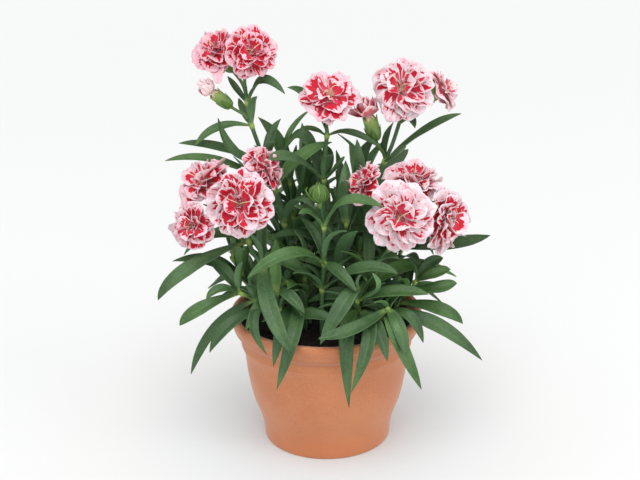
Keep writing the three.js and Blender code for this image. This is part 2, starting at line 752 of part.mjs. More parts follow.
const STEMS = [
  {
    ...FLOWER_STEM,
    name: "stem_left_tall",
    path: [
      [-16, 8, STEM_EXIT],
      [-21, 9, 112],
      [-25.3, 10, 139],
      [-33.3, 11, 174],
      [-41.4, 12, 198],
      [-48.1, 12, 219.7],
      [-50.2, 13, 233],
      [-51.5, 16, 244],
    ],
    joints: [128, 150, 174, 190, 218, 233],
    turn: 20,
    heroes: [
      [218, [-69.5, 10, 222], [-84.7, 4, 206.7], 6.5],
      [218, [-53, 24, 224], [-57, 34, 231], 5],
      [233, [-39.9, 8, 249.3], [-25.1, 2, 241.3], 5.5],
      [233, [-57, 18, 241], [-63, 21, 249], 4.5],
      [190, [-60, 6, 203], [-68.9, 4, 225.4], 7.5],
      [190, [-68, 12, 205], [-95.3, 4, 208.7], 6.5],
      [174, [-70, 6, 199], [-103.8, -4, 199.2], 6.5],
    ],
  },
  {
    ...FLOWER_STEM,
    name: "stem_mid_tall",
    path: [
      [0, 13, STEM_EXIT],
      [-0.6, 13, 130],
      [-0.6, 13, 180],
      [0.3, 14, 197],
      [1.7, 14, 211],
      [1.4, 15, 216],
    ],
    joints: [106, 128, 152, 180, 210],
    turn: 75,
    heroes: [
      [210, [-7, 12, 216], [-16, 10, 216.4], 4],
      [210, [18.1, 8, 216.5], [37, 3, 204], 5],
      [180, [-22.7, 2, 199.4], [-39.4, -6, 200.4], 9.5],
      [180, [7, 8, 190], [13, 2, 199], 7],
      [152, [-11, 22, 205], [-28, 24, 195], 9.5],
    ],
  },
  {
    ...FLOWER_STEM,
    name: "stem_right_tall",
    path: [
      [17, 8, STEM_EXIT],
      [21, 9, 120],
      [29, 11, 160],
      [35, 13, 180],
      [40.1, 14, 192.7],
      [44.8, 16, 202.5],
      [50.5, 20, 219],
    ],
    joints: [106, 126, 148, 168, 192],
    turn: 100,
    heroes: [
      [192, [66.1, 12, 216], [89, 6, 226], 7],
      [192, [47, 6, 199.5], [53, 1, 206], 8],
      [168, [25, 15, 192], [34, 15, 208], 8],
      [168, [45, 30, 182], [58, 48, 190], 9],
    ],
  },
  {
    ...FLOWER_STEM,
    name: "stem_left_low",
    path: [
      [-14, -14, STEM_EXIT],
      [-20, -20, 106],
      [-26.2, -26, 123],
      [-41.4, -29, 136.4],
      [-49, -28, 149],
      [-52, -22, 160],
    ],
    joints: [104, 122, 136, 151],
    turn: 200,
    heroes: [
      [151, [-89.6, -34, 138.5], [-109.2, -36, 114.8], 10.5],
      [151, [-74, -22, 154], [-93, -18, 139], 6],
      [136, [-36, -63, 121], [-22.6, -77, 95], 11],
      [122, [-46, -54, 112], [-38, -68, 90], 7],
      [122, [-40, -42, 117], [-52, -53, 100], 7.5],
      [104, [-27, -52, 106], [-34, -71, 83], 8.5],
      [104, [-20, -58, 104], [-32, -75, 69], 9.5],
    ],
  },
  {
    ...FLOWER_STEM,
    name: "stem_right_low",
    path: [
      [15, -12, STEM_EXIT],
      [21, -16, 108],
      [33, -20, 130],
      [43, -19, 144],
      [47, -16, 152],
    ],
    joints: [104, 122, 143],
    turn: 10,
    heroes: [
      [143, [80, -10, 144], [108, -14, 149], 9.5],
      [143, [62, -8, 143], [72, -4, 132], 7],
    ],
  },
  {
    ...FLOWER_STEM,
    name: "stem_front_bud",
    path: [
      [-3, -27, STEM_EXIT],
      [-2.7, -27, 117],
      [-1.2, -28, 137],
      [-1, -29, 161],
      [-3.4, -29.5, 177],
    ],
    joints: [117, 136, 161],
    turn: 0,
    heroes: [
      [161, [12.3, -38, 182], [36, -49, 181], 8.5],
      [161, [-9, -35, 173], [-17, -40, 174], 6],
      [136, [-22.8, -45, 150], [-49.8, -58, 138], 9],
      [136, [7, -43, 137], [19, -55, 127], 8.5],
      [117, [22, -44, 139], [45.4, -53, 138], 8.5],
    ],
  },
  {
    ...SHOOT,
    name: "shoot_front_left",
    path: [
      [-27, -20, STEM_EXIT],
      [-36, -27, 102],
      [-47, -33, 113],
      [-57, -37, 120],
    ],
    joints: [104, 112, 119],
    turn: 160,
    heroes: [
      [119, [-81.7, -41, 116.5], [-95.1, -43, 99.6], 9],
      [119, [-66, -27, 131], [-76.5, -21, 137.5], 8.5],
      [119, [-68, -42, 125], [-77, -46, 119], 6],
      [112, [-73, -31, 99], [-90.4, -34.3, 60.4], 7.9],
      [104, [-60, -44, 103], [-76, -49, 83], 9],
    ],
  },
  {
    ...SHOOT,
    name: "shoot_front_right",
    path: [
      [21, -26, STEM_EXIT],
      [21, -34, 102],
      [20, -41, 114],
      [20, -45, 126],
    ],
    joints: [97, 106, 115, 126],
    turn: 20,
    heroes: [
      [126, [11, -60, 124], [-4.3, -71, 103], 11],
      [115, [42, -45, 123], [65.6, -44, 120], 9.5],
      [115, [33, -48, 127], [29, -51, 138], 7.5],
      [106, [31, -56, 104], [38, -71, 86], 9.5],
      [97, [13, -58, 103], [13.6, -76.2, 56], 10],
      [106, [27, -64, 102], [15, -82, 70], 9.5],
      [106, [13, -56, 107], [9.4, -70, 95], 8],
    ],
  },
  {
    ...SHOOT,
    name: "shoot_right_front",
    path: [
      [35, -19, STEM_EXIT],
      [38, -30, 98],
      [40, -39, 106],
      [39.5, -45, 111],
    ],
    joints: [98, 105, 110],
    turn: 30,
    heroes: [
      [105, [38, -62, 100], [55, -64, 60], 10.5],
      [110, [46, -58, 103], [50, -67, 88], 9],
      [105, [53, -48, 107], [62, -53, 90], 7.5],
      [98, [68, -38, 105], [102, -40, 71], 10.5],
      [110, [14, -66, 108], [-9, -70, 104], 9],
    ],
  },
  {
    ...SHOOT,
    name: "shoot_right",
    path: [
      [43, -3, STEM_EXIT],
      [50, -9, 102],
      [57, -15, 113],
      [60, -17, 119],
    ],
    joints: [98, 108, 118],
    turn: 60,
    heroes: [
      [118, [68, -12, 128], [78, -9, 131.5], 8.5],
      [118, [71, -20, 125], [82, -19, 127], 8.5],
      [108, [74, -18, 119], [87, -14, 115], 9.5],
      [98, [73, -24, 112], [90, -28, 92], 9.5],
    ],
  },
  {
    ...SHOOT,
    name: "shoot_left",
    path: [
      [-42, 0, STEM_EXIT],
      [-48, -3, 104],
      [-57, -6, 122],
      [-63, -8, 134],
    ],
    joints: [98, 110, 121, 132],
    turn: 120,
    heroes: [],
  },
  {
    ...BACK_SHOOT,
    name: "shoot_back_left",
    path: [
      [-33, 26, STEM_EXIT],
      [-39, 31, 108],
      [-46, 36, 132],
      [-50, 38, 150],
    ],
    joints: [98, 112, 128, 146],
    turn: 40,
    heroes: [],
  },
  {
    ...BACK_SHOOT,
    name: "shoot_back_mid",
    path: [
      [-8, 36, STEM_EXIT],
      [-10, 41, 110],
      [-12, 46, 138],
      [-13, 47, 160],
    ],
    joints: [98, 114, 134, 156],
    turn: 10,
    heroes: [],
  },
  {
    ...BACK_SHOOT,
    name: "shoot_back_right",
    path: [
      [14, 36, STEM_EXIT],
      [20, 41, 108],
      [27, 44, 134],
      [30, 45, 154],
    ],
    joints: [98, 112, 130, 150],
    turn: 70,
    heroes: [],
  },
  {
    ...BACK_SHOOT,
    name: "shoot_far_right",
    path: [
      [38, 20, STEM_EXIT],
      [45, 23, 106],
      [53, 25, 126],
      [57, 25, 142],
    ],
    joints: [98, 110, 124, 138],
    turn: 15,
    heroes: [],
  },
  {
    ...BACK_SHOOT,
    name: "shoot_rear_left",
    path: [
      [-19, 40, STEM_EXIT],
      [-24, 46, 102],
      [-29, 51, 114],
      [-31, 53, 124],
    ],
    joints: [97, 106, 115, 123],
    leaf: [60, 44],
    climb: [-8, 44],
    turn: 60,
    heroes: [],
  },
  {
    ...BACK_SHOOT,
    name: "shoot_rear_right",
    path: [
      [25, 37, STEM_EXIT],
      [31, 43, 102],
      [37, 48, 113],
      [39, 50, 122],
    ],
    joints: [97, 106, 113, 119],
    leaf: [60, 44],
    climb: [-8, 44],
    turn: 106,
    heroes: [],
  },
  {
    ...SHOOT,
    name: "shoot_inner_left",
    path: [
      [-12, 24, STEM_EXIT],
      [-17, 27, 120],
      [-22, 30, 150],
      [-24, 31, 176],
    ],
    joints: [104, 124, 148, 172],
    width: 12,
    leaf: [62, 52],
    climb: [34, 66],
    turn: 85,
    heroes: [[148, [-14, 27, 188], [-17.4, 24, 213], 9]],
  },
  {
    ...SHOOT,
    name: "shoot_inner_front",
    path: [
      [5, -2, STEM_EXIT],
      [7, -6, 112],
      [12, -9, 140],
      [14, -10, 158],
    ],
    joints: [104, 120, 138, 156],
    width: 12,
    leaf: [60, 50],
    climb: [28, 66],
    turn: 30,
    heroes: [],
  },
  {
    ...SHOOT,
    name: "shoot_inner_right",
    path: [
      [27, 20, STEM_EXIT],
      [25, 16, 114],
      [24, 12, 142],
      [24, 11, 164],
    ],
    joints: [108, 126, 144, 162],
    width: 12,
    leaf: [60, 48],
    climb: [30, 68],
    turn: 20,
    heroes: [],
  },
  {
    ...SHOOT,
    name: "shoot_low_mid",
    path: [
      [-11, -9, STEM_EXIT],
      [-13, -13, 104],
      [-14, -16, 120],
      [-14, -17, 132],
    ],
    joints: [97, 108, 120, 131],
    leaf: [44, 40],
    climb: [14, 56],
    turn: 150,
    heroes: [],
  },
  {
    ...SHOOT,
    name: "shoot_front_mid",
    path: [
      [-26, -34, STEM_EXIT],
      [-29, -39, 102],
      [-31, -42, 114],
      [-32, -43, 124],
    ],
    joints: [98, 110, 122],
    leaf: [40, 36],
    climb: [8, 40],
    turn: 130,
    heroes: [[122, [-24, -52, 124], [-14, -58, 114], 8]],
  },
];

// Flower heads: where the head's middle is, which way it faces, how wide it is, and where its
// stalk leaves its stem. open runs from 0, a bud, to 1, full blown.
const HEAD = { open: 1, calyx: 1, seat: 0.3, petals: [5, 3, 2] };
const HEADS = [
  { ...HEAD, name: "bloom_left_tall_front", stem: "stem_left_tall", from: 243, centre: [-46.6, 6, 267.8],
    facing: [0.18, -0.86, 0.42], radius: 18.2 },
  { ...HEAD, name: "bloom_left_tall_back", stem: "stem_left_tall", from: 236, centre: [-69, 22, 266],
    facing: [-0.42, -0.5, 0.76], radius: 19 },
  { ...HEAD, name: "bloom_left_tall_bud", stem: "stem_left_tall", from: 219.5, centre: [-74.5, 10, 243],
    facing: [-0.74, -0.1, 0.66], radius: 6.8, open: 0.05, calyx: 0.85, seat: 0.9, petals: [4, 2, 0] },
  { ...HEAD, name: "bloom_mid_tall", stem: "stem_mid_tall", from: 215, centre: [3.2, 6, 238.7],
    facing: [0.02, -0.66, 0.75], radius: 20.5 },
  { ...HEAD, name: "bloom_right_tall_bud", stem: "stem_right_tall", from: 191, centre: [27.8, 8, 230],
    facing: [-0.25, -0.12, 0.96], radius: 9, open: 0.25, calyx: 1, seat: 1, petals: [4, 3, 1] },
  { ...HEAD, name: "bloom_right_tall_front", stem: "stem_right_tall", from: 217, centre: [49.8, 6, 243.6],
    facing: [-0.1, -0.84, 0.53], radius: 22.5, petals: [6, 4, 2] },
  { ...HEAD, name: "bloom_right_tall_back", stem: "stem_right_tall", from: 205, centre: [79, 28, 236.9],
    facing: [0.86, -0.15, 0.48], radius: 17 },
  { ...HEAD, name: "bloom_left_low_front", stem: "stem_left_low", from: 158, centre: [-53.7, -42, 182],
    facing: [-0.02, -0.93, 0.36], radius: 25, petals: [6, 4, 2] },
  { ...HEAD, name: "bloom_left_low_back", stem: "stem_left_low", from: 157, centre: [-79, -15, 188.5],
    facing: [-0.6, -0.4, 0.7], radius: 21 },
  { ...HEAD, name: "bloom_left_low_side", stem: "stem_left_low", from: 153, centre: [-85, -33, 164.5],
    facing: [-0.5, -0.84, 0.12], radius: 17.5, calyx: 0.9 },
  { ...HEAD, name: "bloom_left_low_inner", stem: "stem_left_low", from: 156, centre: [-39, -8, 196],
    facing: [0.66, -0.34, 0.66], radius: 16, calyx: 0.9 },
  { ...HEAD, name: "bloom_right_low_front", stem: "stem_right_low", from: 148, centre: [46.4, -46, 173.5],
    facing: [0.0, -0.93, 0.36], radius: 22, petals: [6, 4, 2] },
  { ...HEAD, name: "bloom_right_low_side", stem: "stem_right_low", from: 149, centre: [77, -24, 164.2],
    facing: [0.78, -0.6, 0.16], radius: 21.5 },
  { ...HEAD, name: "bloom_right_low_top", stem: "stem_right_low", from: 151, centre: [57.4, -12, 185.5],
    facing: [0.08, -0.2, 0.97], radius: 20.5 },
  { ...HEAD, name: "bloom_right_low_inner", stem: "stem_right_low", from: 150, centre: [25, -12, 185],
    facing: [-0.74, -0.4, 0.54], radius: 15.5, calyx: 0.9 },
];

const GREEN_BUD = {
  stem: "stem_front_bud",
  foot: [-3.6, -29.5, 176],
  facing: [-0.06, -0.05, 1],
  profile: [
    [1.6, -1.5],
    [4.8, 1.5],
    [6.9, 6],
    [6.7, 9.6],
  ],
  teeth: { height: 12.6, radius: 4.7, rise: 3.2 },
  petals: 2.6,
  tip: 14.4,
};

const COLOUR = {
  pot: [0xc98262, 0.85],
  soil: [0x1c1a19, 1],
  green: [0x4b7048, 0.55],
  bloom: [0xd8526c, 0.7],
};

const group = new THREE.Group();
group.name = "dianthus_in_pot";

function addNode(name, solid, [colour, roughness]) {
  const geometry = geometryOf(solid);
  geometry.computeVertexNormals();
  const material = new THREE.MeshStandardMaterial({ color: colour, roughness, metalness: 0 });
  const node = new THREE.Mesh(geometry, material);
  node.name = name;
  group.add(node);
}

const pot = potSolid();
keep("pot", pot);
addNode("pot", pot, COLOUR.pot);
const soil = soilSolid(STEMS);
keep("soil", soil);
addNode("soil", soil, COLOUR.soil);

// Stems, stalks and calyces stand first; the heads sit on them; the leaves grow round both.
const greens = new Map();
for (const stem of STEMS) {
  const curve = curveOf(stem.path);
  const pieces = [stemSolid(stem)];
  for (const head of HEADS.filter((one) => one.stem === stem.name)) {
    const axis = toVector(head.facing).normalize();
    const foot = mouthOf(head).addScaledVector(axis, -CALYX_LENGTH * head.calyx);
    const from = pointAtHeight(curve, head.from);
    const rise = pointAtHeight(curve, head.from)
      .sub(pointAtHeight(curve, head.from - STALK_RISE))
      .normalize();
    pieces.push(stalkSolid(from, rise, foot, axis, STALK_RADIUS * head.calyx));
    pieces.push(calyxSolid(head));
  }
  if (GREEN_BUD.stem === stem.name) pieces.push(greenBudSolid(GREEN_BUD));
  const solid = pieces.reduce((all, one) => all.add(one));
  greens.set(stem.name, solid);
  pieces.forEach((piece) => keep(stem.name, piece));
}

HEADS.forEach((head, i) => {
  addNode(head.name, bloomSolid(head, i + 1), COLOUR.bloom);
});

const grown = new Map(STEMS.map((stem) => [stem.name, []]));
const heroes = new Map();
STEMS.forEach((stem, i) => {
  const curve = curveOf(stem.path);
  const leaves = stem.heroes.map((row, k) => heroLeaf(curve, row, i * 40 + k));
  heroes.set(stem.name, leaves);
  for (const leaf of leaves) {
    const blade = growLeaf(stem.name, leaf);
    if (blade) grown.get(stem.name).push(blade);
  }
});
STEMS.forEach((stem, i) => {
  const curve = curveOf(stem.path);
  stem.joints.forEach((_, order) => {
    for (const leaf of ruleLeaves(stem, curve, order, i * 100, heroes.get(stem.name))) {
      const blade = growLeaf(stem.name, leaf);
      if (blade) grown.get(stem.name).push(blade);
    }
  });
});
for (const stem of STEMS) {
  const whole = grown.get(stem.name).reduce((all, one) => all.add(one), greens.get(stem.name));
  addNode(stem.name, settled(whole), COLOUR.green);
}

export default group;
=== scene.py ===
import math

import bpy
import numpy as np
from mathutils import Matrix, Vector, bvhtree, kdtree, noise


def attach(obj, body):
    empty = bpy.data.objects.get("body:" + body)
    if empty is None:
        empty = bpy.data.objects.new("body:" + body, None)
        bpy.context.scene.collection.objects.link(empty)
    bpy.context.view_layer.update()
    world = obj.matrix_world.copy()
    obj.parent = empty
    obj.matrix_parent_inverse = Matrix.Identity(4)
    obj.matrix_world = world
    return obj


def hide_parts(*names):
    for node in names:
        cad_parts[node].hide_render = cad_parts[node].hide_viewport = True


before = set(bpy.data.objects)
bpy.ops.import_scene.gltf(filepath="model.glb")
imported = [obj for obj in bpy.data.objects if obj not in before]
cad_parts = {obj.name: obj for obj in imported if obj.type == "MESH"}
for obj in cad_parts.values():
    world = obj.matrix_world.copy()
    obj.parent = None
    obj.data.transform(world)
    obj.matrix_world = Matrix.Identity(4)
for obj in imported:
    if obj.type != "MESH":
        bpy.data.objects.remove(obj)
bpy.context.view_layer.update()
bpy.ops.object.select_all(action="DESELECT")

# ---------------------------------------------------------------- pot
# A flower pot of fired terracotta, unglazed and matt, 130 mm across a rounded lip over a sloped
# band. Its wall is drawn up ring by ring, as on a wheel, and the drain holes are cut through.

MM = 0.001
POT_SIDES = 128
POT_WALL = [
    (1, 0), (20, 0), (40, 0), (42.9, 0), (43.3, 0.3), (43.6, 1.2), (44, 6), (44.7, 11.5), (46.3, 17.7),
    (48.6, 24), (50.8, 30), (52.7, 38), (54.4, 48), (55.4, 57), (55.8, 61.5), (56.4, 64.5),
    (57.6, 67.6), (58.1, 68.9), (58.35, 69.8), (58.3, 71), (58.3, 74), (58.8, 76.4), (59.6, 77.8),
    (61.2, 79), (62.6, 80.2), (63.3, 82), (63.9, 85.3), (64.5, 86), (65, 87), (65.05, 89.6),
    (64.7, 91.2), (63.8, 92), (62.6, 92.15), (61.4, 91.8), (60.5, 90.8), (59.8, 89.2), (57.6, 82),
    (55.2, 74), (50, 52), (45.5, 33), (42, 18), (39.6, 9), (38.2, 6.4), (36, 5.3), (33, 5), (20, 5),
    (1, 5),
]
DRAIN_RADIUS, DRAIN_CIRCLE, DRAIN_COUNT, DRAIN_TURN, DRAIN_SIDES, DRILL_LENGTH = 5, 22, 3, 0.5, 32, 30
DOUBLED = 0.02


def made_by(tool, **settings):
    """The new piece that a tool for plain shapes makes, selected alone."""
    bpy.ops.object.select_all(action="DESELECT")
    tool(location=(0, 0, 0), **settings)
    return bpy.context.object


def edit(piece):
    """Goes into edit mode on one piece alone, with all of it selected."""
    bpy.ops.object.select_all(action="DESELECT")
    bpy.context.view_layer.objects.active = piece
    piece.select_set(True)
    bpy.ops.object.mode_set(mode="EDIT")
    bpy.ops.mesh.select_all(action="SELECT")


def close_up():
    """Joins doubled points, turns all faces outwards and leaves edit mode."""
    bpy.ops.mesh.select_all(action="SELECT")
    bpy.ops.mesh.remove_doubles(threshold=DOUBLED * MM)
    bpy.ops.mesh.normals_make_consistent(inside=False)
    bpy.ops.object.mode_set(mode="OBJECT")


def drawn_up(name, wall, sides):
    """A round body drawn from one ring through every [radius, height] of its wall, in mm."""
    body = made_by(bpy.ops.mesh.primitive_circle_add, vertices=sides, radius=wall[0][0] * MM)
    body.name = name
    edit(body)
    bpy.ops.transform.translate(value=(0, 0, wall[0][1] * MM))
    bpy.ops.mesh.edge_face_add()
    bpy.ops.mesh.poke()
    pick(body, lambda co: math.hypot(co.x, co.y) > 0.5 * wall[0][0] * MM)
    for (radius, height), (wider, higher) in zip(wall, wall[1:]):
        bpy.ops.mesh.extrude_region_move(
            TRANSFORM_OT_translate={"value": (0, 0, (higher - height) * MM)}
        )
        grow = wider / radius
        bpy.ops.transform.resize(value=(grow, grow, 1), center_override=(0, 0, higher * MM))
    bpy.ops.mesh.merge(type="CENTER")
    close_up()
    return body


def pick(piece, chosen):
    """Selects, in edit mode, only the points of a piece whose place chosen accepts."""
    bpy.ops.mesh.select_mode(type="VERT")
    bpy.ops.object.mode_set(mode="OBJECT")
    for part in (*piece.data.vertices, *piece.data.edges, *piece.data.polygons):
        part.select = False
    for point in piece.data.vertices:
        point.select = bool(chosen(point.co))
    bpy.ops.object.mode_set(mode="EDIT")
    bpy.ops.mesh.select_mode(type="EDGE")
    bpy.ops.mesh.select_mode(type="VERT")


pot = drawn_up("flower_pot", POT_WALL, POT_SIDES)
for i in range(DRAIN_COUNT):
    angle = i / DRAIN_COUNT * math.tau + DRAIN_TURN
    place = (DRAIN_CIRCLE * MM * math.cos(angle), DRAIN_CIRCLE * MM * math.sin(angle), 0)
    drill = made_by(
        bpy.ops.mesh.primitive_cylinder_add,
        vertices=DRAIN_SIDES, radius=DRAIN_RADIUS * MM, depth=DRILL_LENGTH * MM,
    )
    bpy.ops.transform.translate(value=place)
    bpy.context.view_layer.objects.active = pot
    cut = pot.modifiers.new("drain hole", "BOOLEAN")
    cut.object = drill
    cut.solver = "EXACT"
    bpy.ops.object.modifier_apply(modifier=cut.name)
    bpy.data.objects.remove(drill)
pot.select_set(True)
bpy.ops.object.shade_smooth_by_angle(angle=math.radians(40))


def paint(red, green, blue):
    """A colour in the 0-255 numbers of a paint chip, as the linear values that a shader takes."""
    parts = [c / 255 for c in (red, green, blue)]
    return (*[p / 12.92 if p <= 0.04045 else ((p + 0.055) / 1.055) ** 2.4 for p in parts], 1)


def put(tree, kind, inputs, **settings):
    """A shader node with its settings, and its inputs as values or links; gives its outputs."""
    made = tree.nodes.new(kind)
    for name, value in settings.items():
        setattr(made, name, value)
    for socket, value in inputs.items():
        if isinstance(value, bpy.types.NodeSocket):
            tree.links.new(value, made.inputs[socket])
        else:
            made.inputs[socket].default_value = value
    return made.outputs


def calc(tree, operation, *values):
    """The result of a sum on values or links."""
    return put(tree, "ShaderNodeMath", dict(enumerate(values)), operation=operation)[0]


def times(tree, one, other):
    return calc(tree, "MULTIPLY", one, other)


def mixed(tree, share, low, high):
    """The low colour where the share is 0, turning to the high one where it is 1."""
    return put(tree, "ShaderNodeMix", {0: share, 6: low, 7: high}, data_type="RGBA")[2]


def over(tree, surface, colour, where, share):
    """A colour laid over a surface where a value says, and at most to a share."""
    return mixed(tree, times(tree, where, share), surface, colour)


def step(tree, value, low, high):
    """0 below low, 1 above high and smooth between; the other way round if low is the higher."""
    inputs = {"Value": value, "From Min": low, "From Max": high}
    return put(tree, "ShaderNodeMapRange", inputs, interpolation_type="SMOOTHSTEP")[0]


def noisy(tree, where, scale, detail=3.0, rough=0.5):
    """Noise around 0.5, with a scale in runs to a metre."""
    inputs = {"Vector": where, "Scale": scale, "Detail": detail, "Roughness": rough}
    return put(tree, "ShaderNodeTexNoise", inputs)[0]


def finish_of(name):
    """A new material, its node tree and its shader, ready for links."""
    made = bpy.data.materials.new(name)
    made.use_nodes = True
    return made, made.node_tree, made.node_tree.nodes["Principled BSDF"]


def coat(shader, colour, rough, shine, height=None, strength=0, depth=0.6):
    """Gives a shader its colour, roughness and shine, and the relief of a height, its depth in mm."""
    tree = shader.id_data
    tree.links.new(colour, shader.inputs["Base Color"])
    if height is not None:
        relief = put(tree, "ShaderNodeBump", {"Height": height, "Strength": strength, "Distance": depth * MM})
        tree.links.new(relief[0], shader.inputs["Normal"])
    shader.inputs["Roughness"].default_value = rough
    shader.inputs["Specular IOR Level"].default_value = shine


# Cloudy colour with a fine grain in it, which clay, compost and leaf share.
mottle = bpy.data.node_groups.new("mottled colour", "ShaderNodeTree")
for label, kind in (("Light", "Color"), ("Dark", "Color"), ("Clouds", "Float"), ("Grain", "Float")):
    mottle.interface.new_socket(label, in_out="INPUT", socket_type="NodeSocket" + kind)
for label, kind in (("Colour", "Color"), ("Height", "Float")):
    mottle.interface.new_socket(label, in_out="OUTPUT", socket_type="NodeSocket" + kind)
given = mottle.nodes.new("NodeGroupInput").outputs
place = put(mottle, "ShaderNodeTexCoord", {})["Object"]
cloud = noisy(mottle, place, given["Clouds"], 4.0, 0.6)
grain = noisy(mottle, place, given["Grain"], 2.0)
both = calc(mottle, "MULTIPLY_ADD", grain, 0.35, times(mottle, cloud, 0.65))
colour = mixed(mottle, step(mottle, both, 0.36, 0.64), given["Dark"], given["Light"])
put(mottle, "NodeGroupOutput", {"Colour": colour, "Height": grain})


def mottled(tree, light, dark, clouds, grain):
    """The mottled colour with a material's own values: its colour and the height of its grain."""
    inputs = {"Light": light, "Dark": dark, "Clouds": clouds, "Grain": grain}
    return put(tree, "ShaderNodeGroup", inputs, node_tree=mottle)


# Heights in m: edges paler from rubbed wear and painted highlight, with their reach, the band
# below the lip darkened with painted shade, and the warm foot.
EDGES = [(0.0915, 0.0016), (0.0866, 0.001), (0.0698, 0.0009), (0.0008, 0.0012)]
BAND_FOOT, BAND_TOP, WARM_FOOT = (0.0745, 0.0775), (0.0835, 0.0795), (0.04, 0.004)
RUBBED_AND_HIGHLIT, UNDER_LIP_SHADE = paint(216, 166, 136), paint(168, 104, 74)
WARM, SPECKED = paint(200, 121, 76), paint(128, 82, 62)
clay, tree, shader = finish_of("terracotta")
fired = mottled(tree, paint(198, 129, 89), paint(187, 117, 79), 26, 900)
place = put(tree, "ShaderNodeTexCoord", {})["Object"]
height = put(tree, "ShaderNodeSeparateXYZ", {0: place})["Z"]
# Edges paler, partly from rubbed wear and partly as a painted highlight where they catch the light.
worn_and_highlit = 0
for edge, reach in EDGES:
    off = calc(tree, "ABSOLUTE", calc(tree, "SUBTRACT", height, edge))
    worn_and_highlit = calc(tree, "MAXIMUM", worn_and_highlit, step(tree, off, reach, 0))
patchy = step(tree, noisy(tree, place, 70, 3), 0.35, 0.7)
surface = over(tree, fired["Colour"], RUBBED_AND_HIGHLIT, times(tree, worn_and_highlit, patchy), 0.28)
# Painted shade: the band below the lip faces down, out of the light, and is darkened.
painted_shade_band = times(tree, step(tree, height, *BAND_FOOT), step(tree, height, *BAND_TOP))
surface = over(tree, surface, UNDER_LIP_SHADE, painted_shade_band, 0.5)
surface = over(tree, surface, WARM, step(tree, height, *WARM_FOOT), 0.55)
surface = over(tree, surface, SPECKED, step(tree, noisy(tree, place, 620, 1), 0.76, 0.8), 0.5)
coat(shader, surface, 0.8, 0.3, fired["Height"], 0.16)
shader.inputs["Sheen Weight"].default_value = 0.3
shader.inputs["Sheen Roughness"].default_value = 0.45
pot.data.materials.append(clay)
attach(pot, "root")
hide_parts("pot")

# ---------------------------------------------------------------- compost
# Moist peat compost, near black, filled to 7 mm below the rim. Its top is pushed into the swells
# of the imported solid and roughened, and loose crumbs, each a copy of one, lie on it.

COMPOST_TOP, COMPOST_SIDES = 84.6, 88
COMPOST_WALL = [
    (1, 5.4), (35.1, 5.4), (37.7, 7.5), (49.8, 60.6), (56.6, 82.4), (57.4, COMPOST_TOP),
    *[(radius, COMPOST_TOP) for radius in np.linspace(56, 1, 30)],
]


def ground(x, y):
    """The height of the compost's top in mm at a place in mm."""
    swell = math.sin(x * 0.31 + y * 0.17)
    ripple = math.sin(x * -0.11 + y * 0.37) * math.cos(x * 0.23)
    lumps = noise.noise(Vector((x * 0.21, y * 0.21, 4.0)))
    lumps += 0.6 * noise.noise(Vector((x * 0.55, y * 0.55, 9.0)))
    return COMPOST_TOP + 0.55 * (swell + ripple) + 0.8 * lumps


def draw(a, b):
    """A repeatable draw between -1 and 1 from two numbers."""
    wave = math.sin(a * 127.1 + b * 311.7) * 43758.5453
    return (wave - math.floor(wave)) * 2 - 1


def copy_of(piece):
    """A copy of a piece with a mesh of its own."""
    twin = piece.copy()
    twin.data = piece.data.copy()
    bpy.context.scene.collection.objects.link(twin)
    return twin


def points_of(piece):
    """The places of a piece's points, one row to a point."""
    flat = np.zeros(len(piece.data.vertices) * 3)
    piece.data.vertices.foreach_get("co", flat)
    return flat.reshape(-1, 3)


def place_points(piece, points):
    """Moves a piece's points to new places."""
    piece.data.vertices.foreach_set("co", np.asarray(points, float).ravel())
    piece.data.update()


def as_one(name, pieces):
    """Joins pieces into the first of them, under one name."""
    bpy.ops.object.select_all(action="DESELECT")
    for piece in pieces:
        piece.select_set(True)
    bpy.context.view_layer.objects.active = pieces[0]
    if len(pieces) > 1:
        bpy.ops.object.join()
    pieces[0].name = name
    return pieces[0]


compost = drawn_up("peat_compost", COMPOST_WALL, COMPOST_SIDES)
points = points_of(compost)
for point in points:
    if point[2] > (COMPOST_TOP - 1) * MM:
        point[2] = ground(point[0] / MM, point[1] / MM) * MM
place_points(compost, points)
crumb = made_by(bpy.ops.mesh.primitive_ico_sphere_add, subdivisions=2, radius=MM)
CRUMBS, CRUMB_REACH, CRUMB_ROUGHNESS, SMALL_CRUMB, LARGE_CRUMB = 380, 55, 0.28, 0.55, 2.05
edit(crumb)
bpy.ops.transform.vertex_random(offset=CRUMB_ROUGHNESS * MM, seed=3)
bpy.ops.transform.resize(value=(1, 0.8, 0.65), center_override=(0, 0, 0))
bpy.ops.object.mode_set(mode="OBJECT")
crumbs = []
for i in range(CRUMBS):
    far = CRUMB_REACH * math.sqrt((draw(i, 1) + 1) / 2)
    angle = math.pi * draw(i, 2)
    x, y = far * math.cos(angle), far * math.sin(angle)
    size = SMALL_CRUMB + (LARGE_CRUMB - SMALL_CRUMB) * ((draw(i, 3) + 1) / 2) ** 3
    turned = Matrix.Rotation(draw(i, 4) * math.pi, 3, "Z") @ Matrix.Rotation(draw(i, 5), 3, "X")
    stretch = np.array([1 + 0.7 * abs(draw(i, 6)), 1, 1])
    loose = copy_of(crumb)
    middle = np.array([x, y, ground(x, y) + 0.2 * size]) * MM
    place_points(loose, points_of(crumb) * size * stretch @ np.array(turned).T + middle)
    crumbs.append(loose)
bpy.data.objects.remove(crumb)
compost = as_one("peat_compost", [compost, *crumbs])
bpy.ops.object.shade_smooth_by_angle(angle=math.radians(50))

peat, tree, shader = finish_of("peat compost")
moist = mottled(tree, paint(52, 46, 42), paint(22, 20, 19), 160, 1500)
coat(shader, moist["Colour"], 0.95, 0.2, moist["Height"], 0.8, 1)
compost.data.materials.append(peat)
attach(compost, "root")
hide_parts("soil")

# ---------------------------------------------------------------- stems
# Six flowering stems and sixteen leafy shoots, green and 3 mm thick, each with its foot in the
# compost. One upright rod is bent along every stem's path, and it swells where leaves join it.

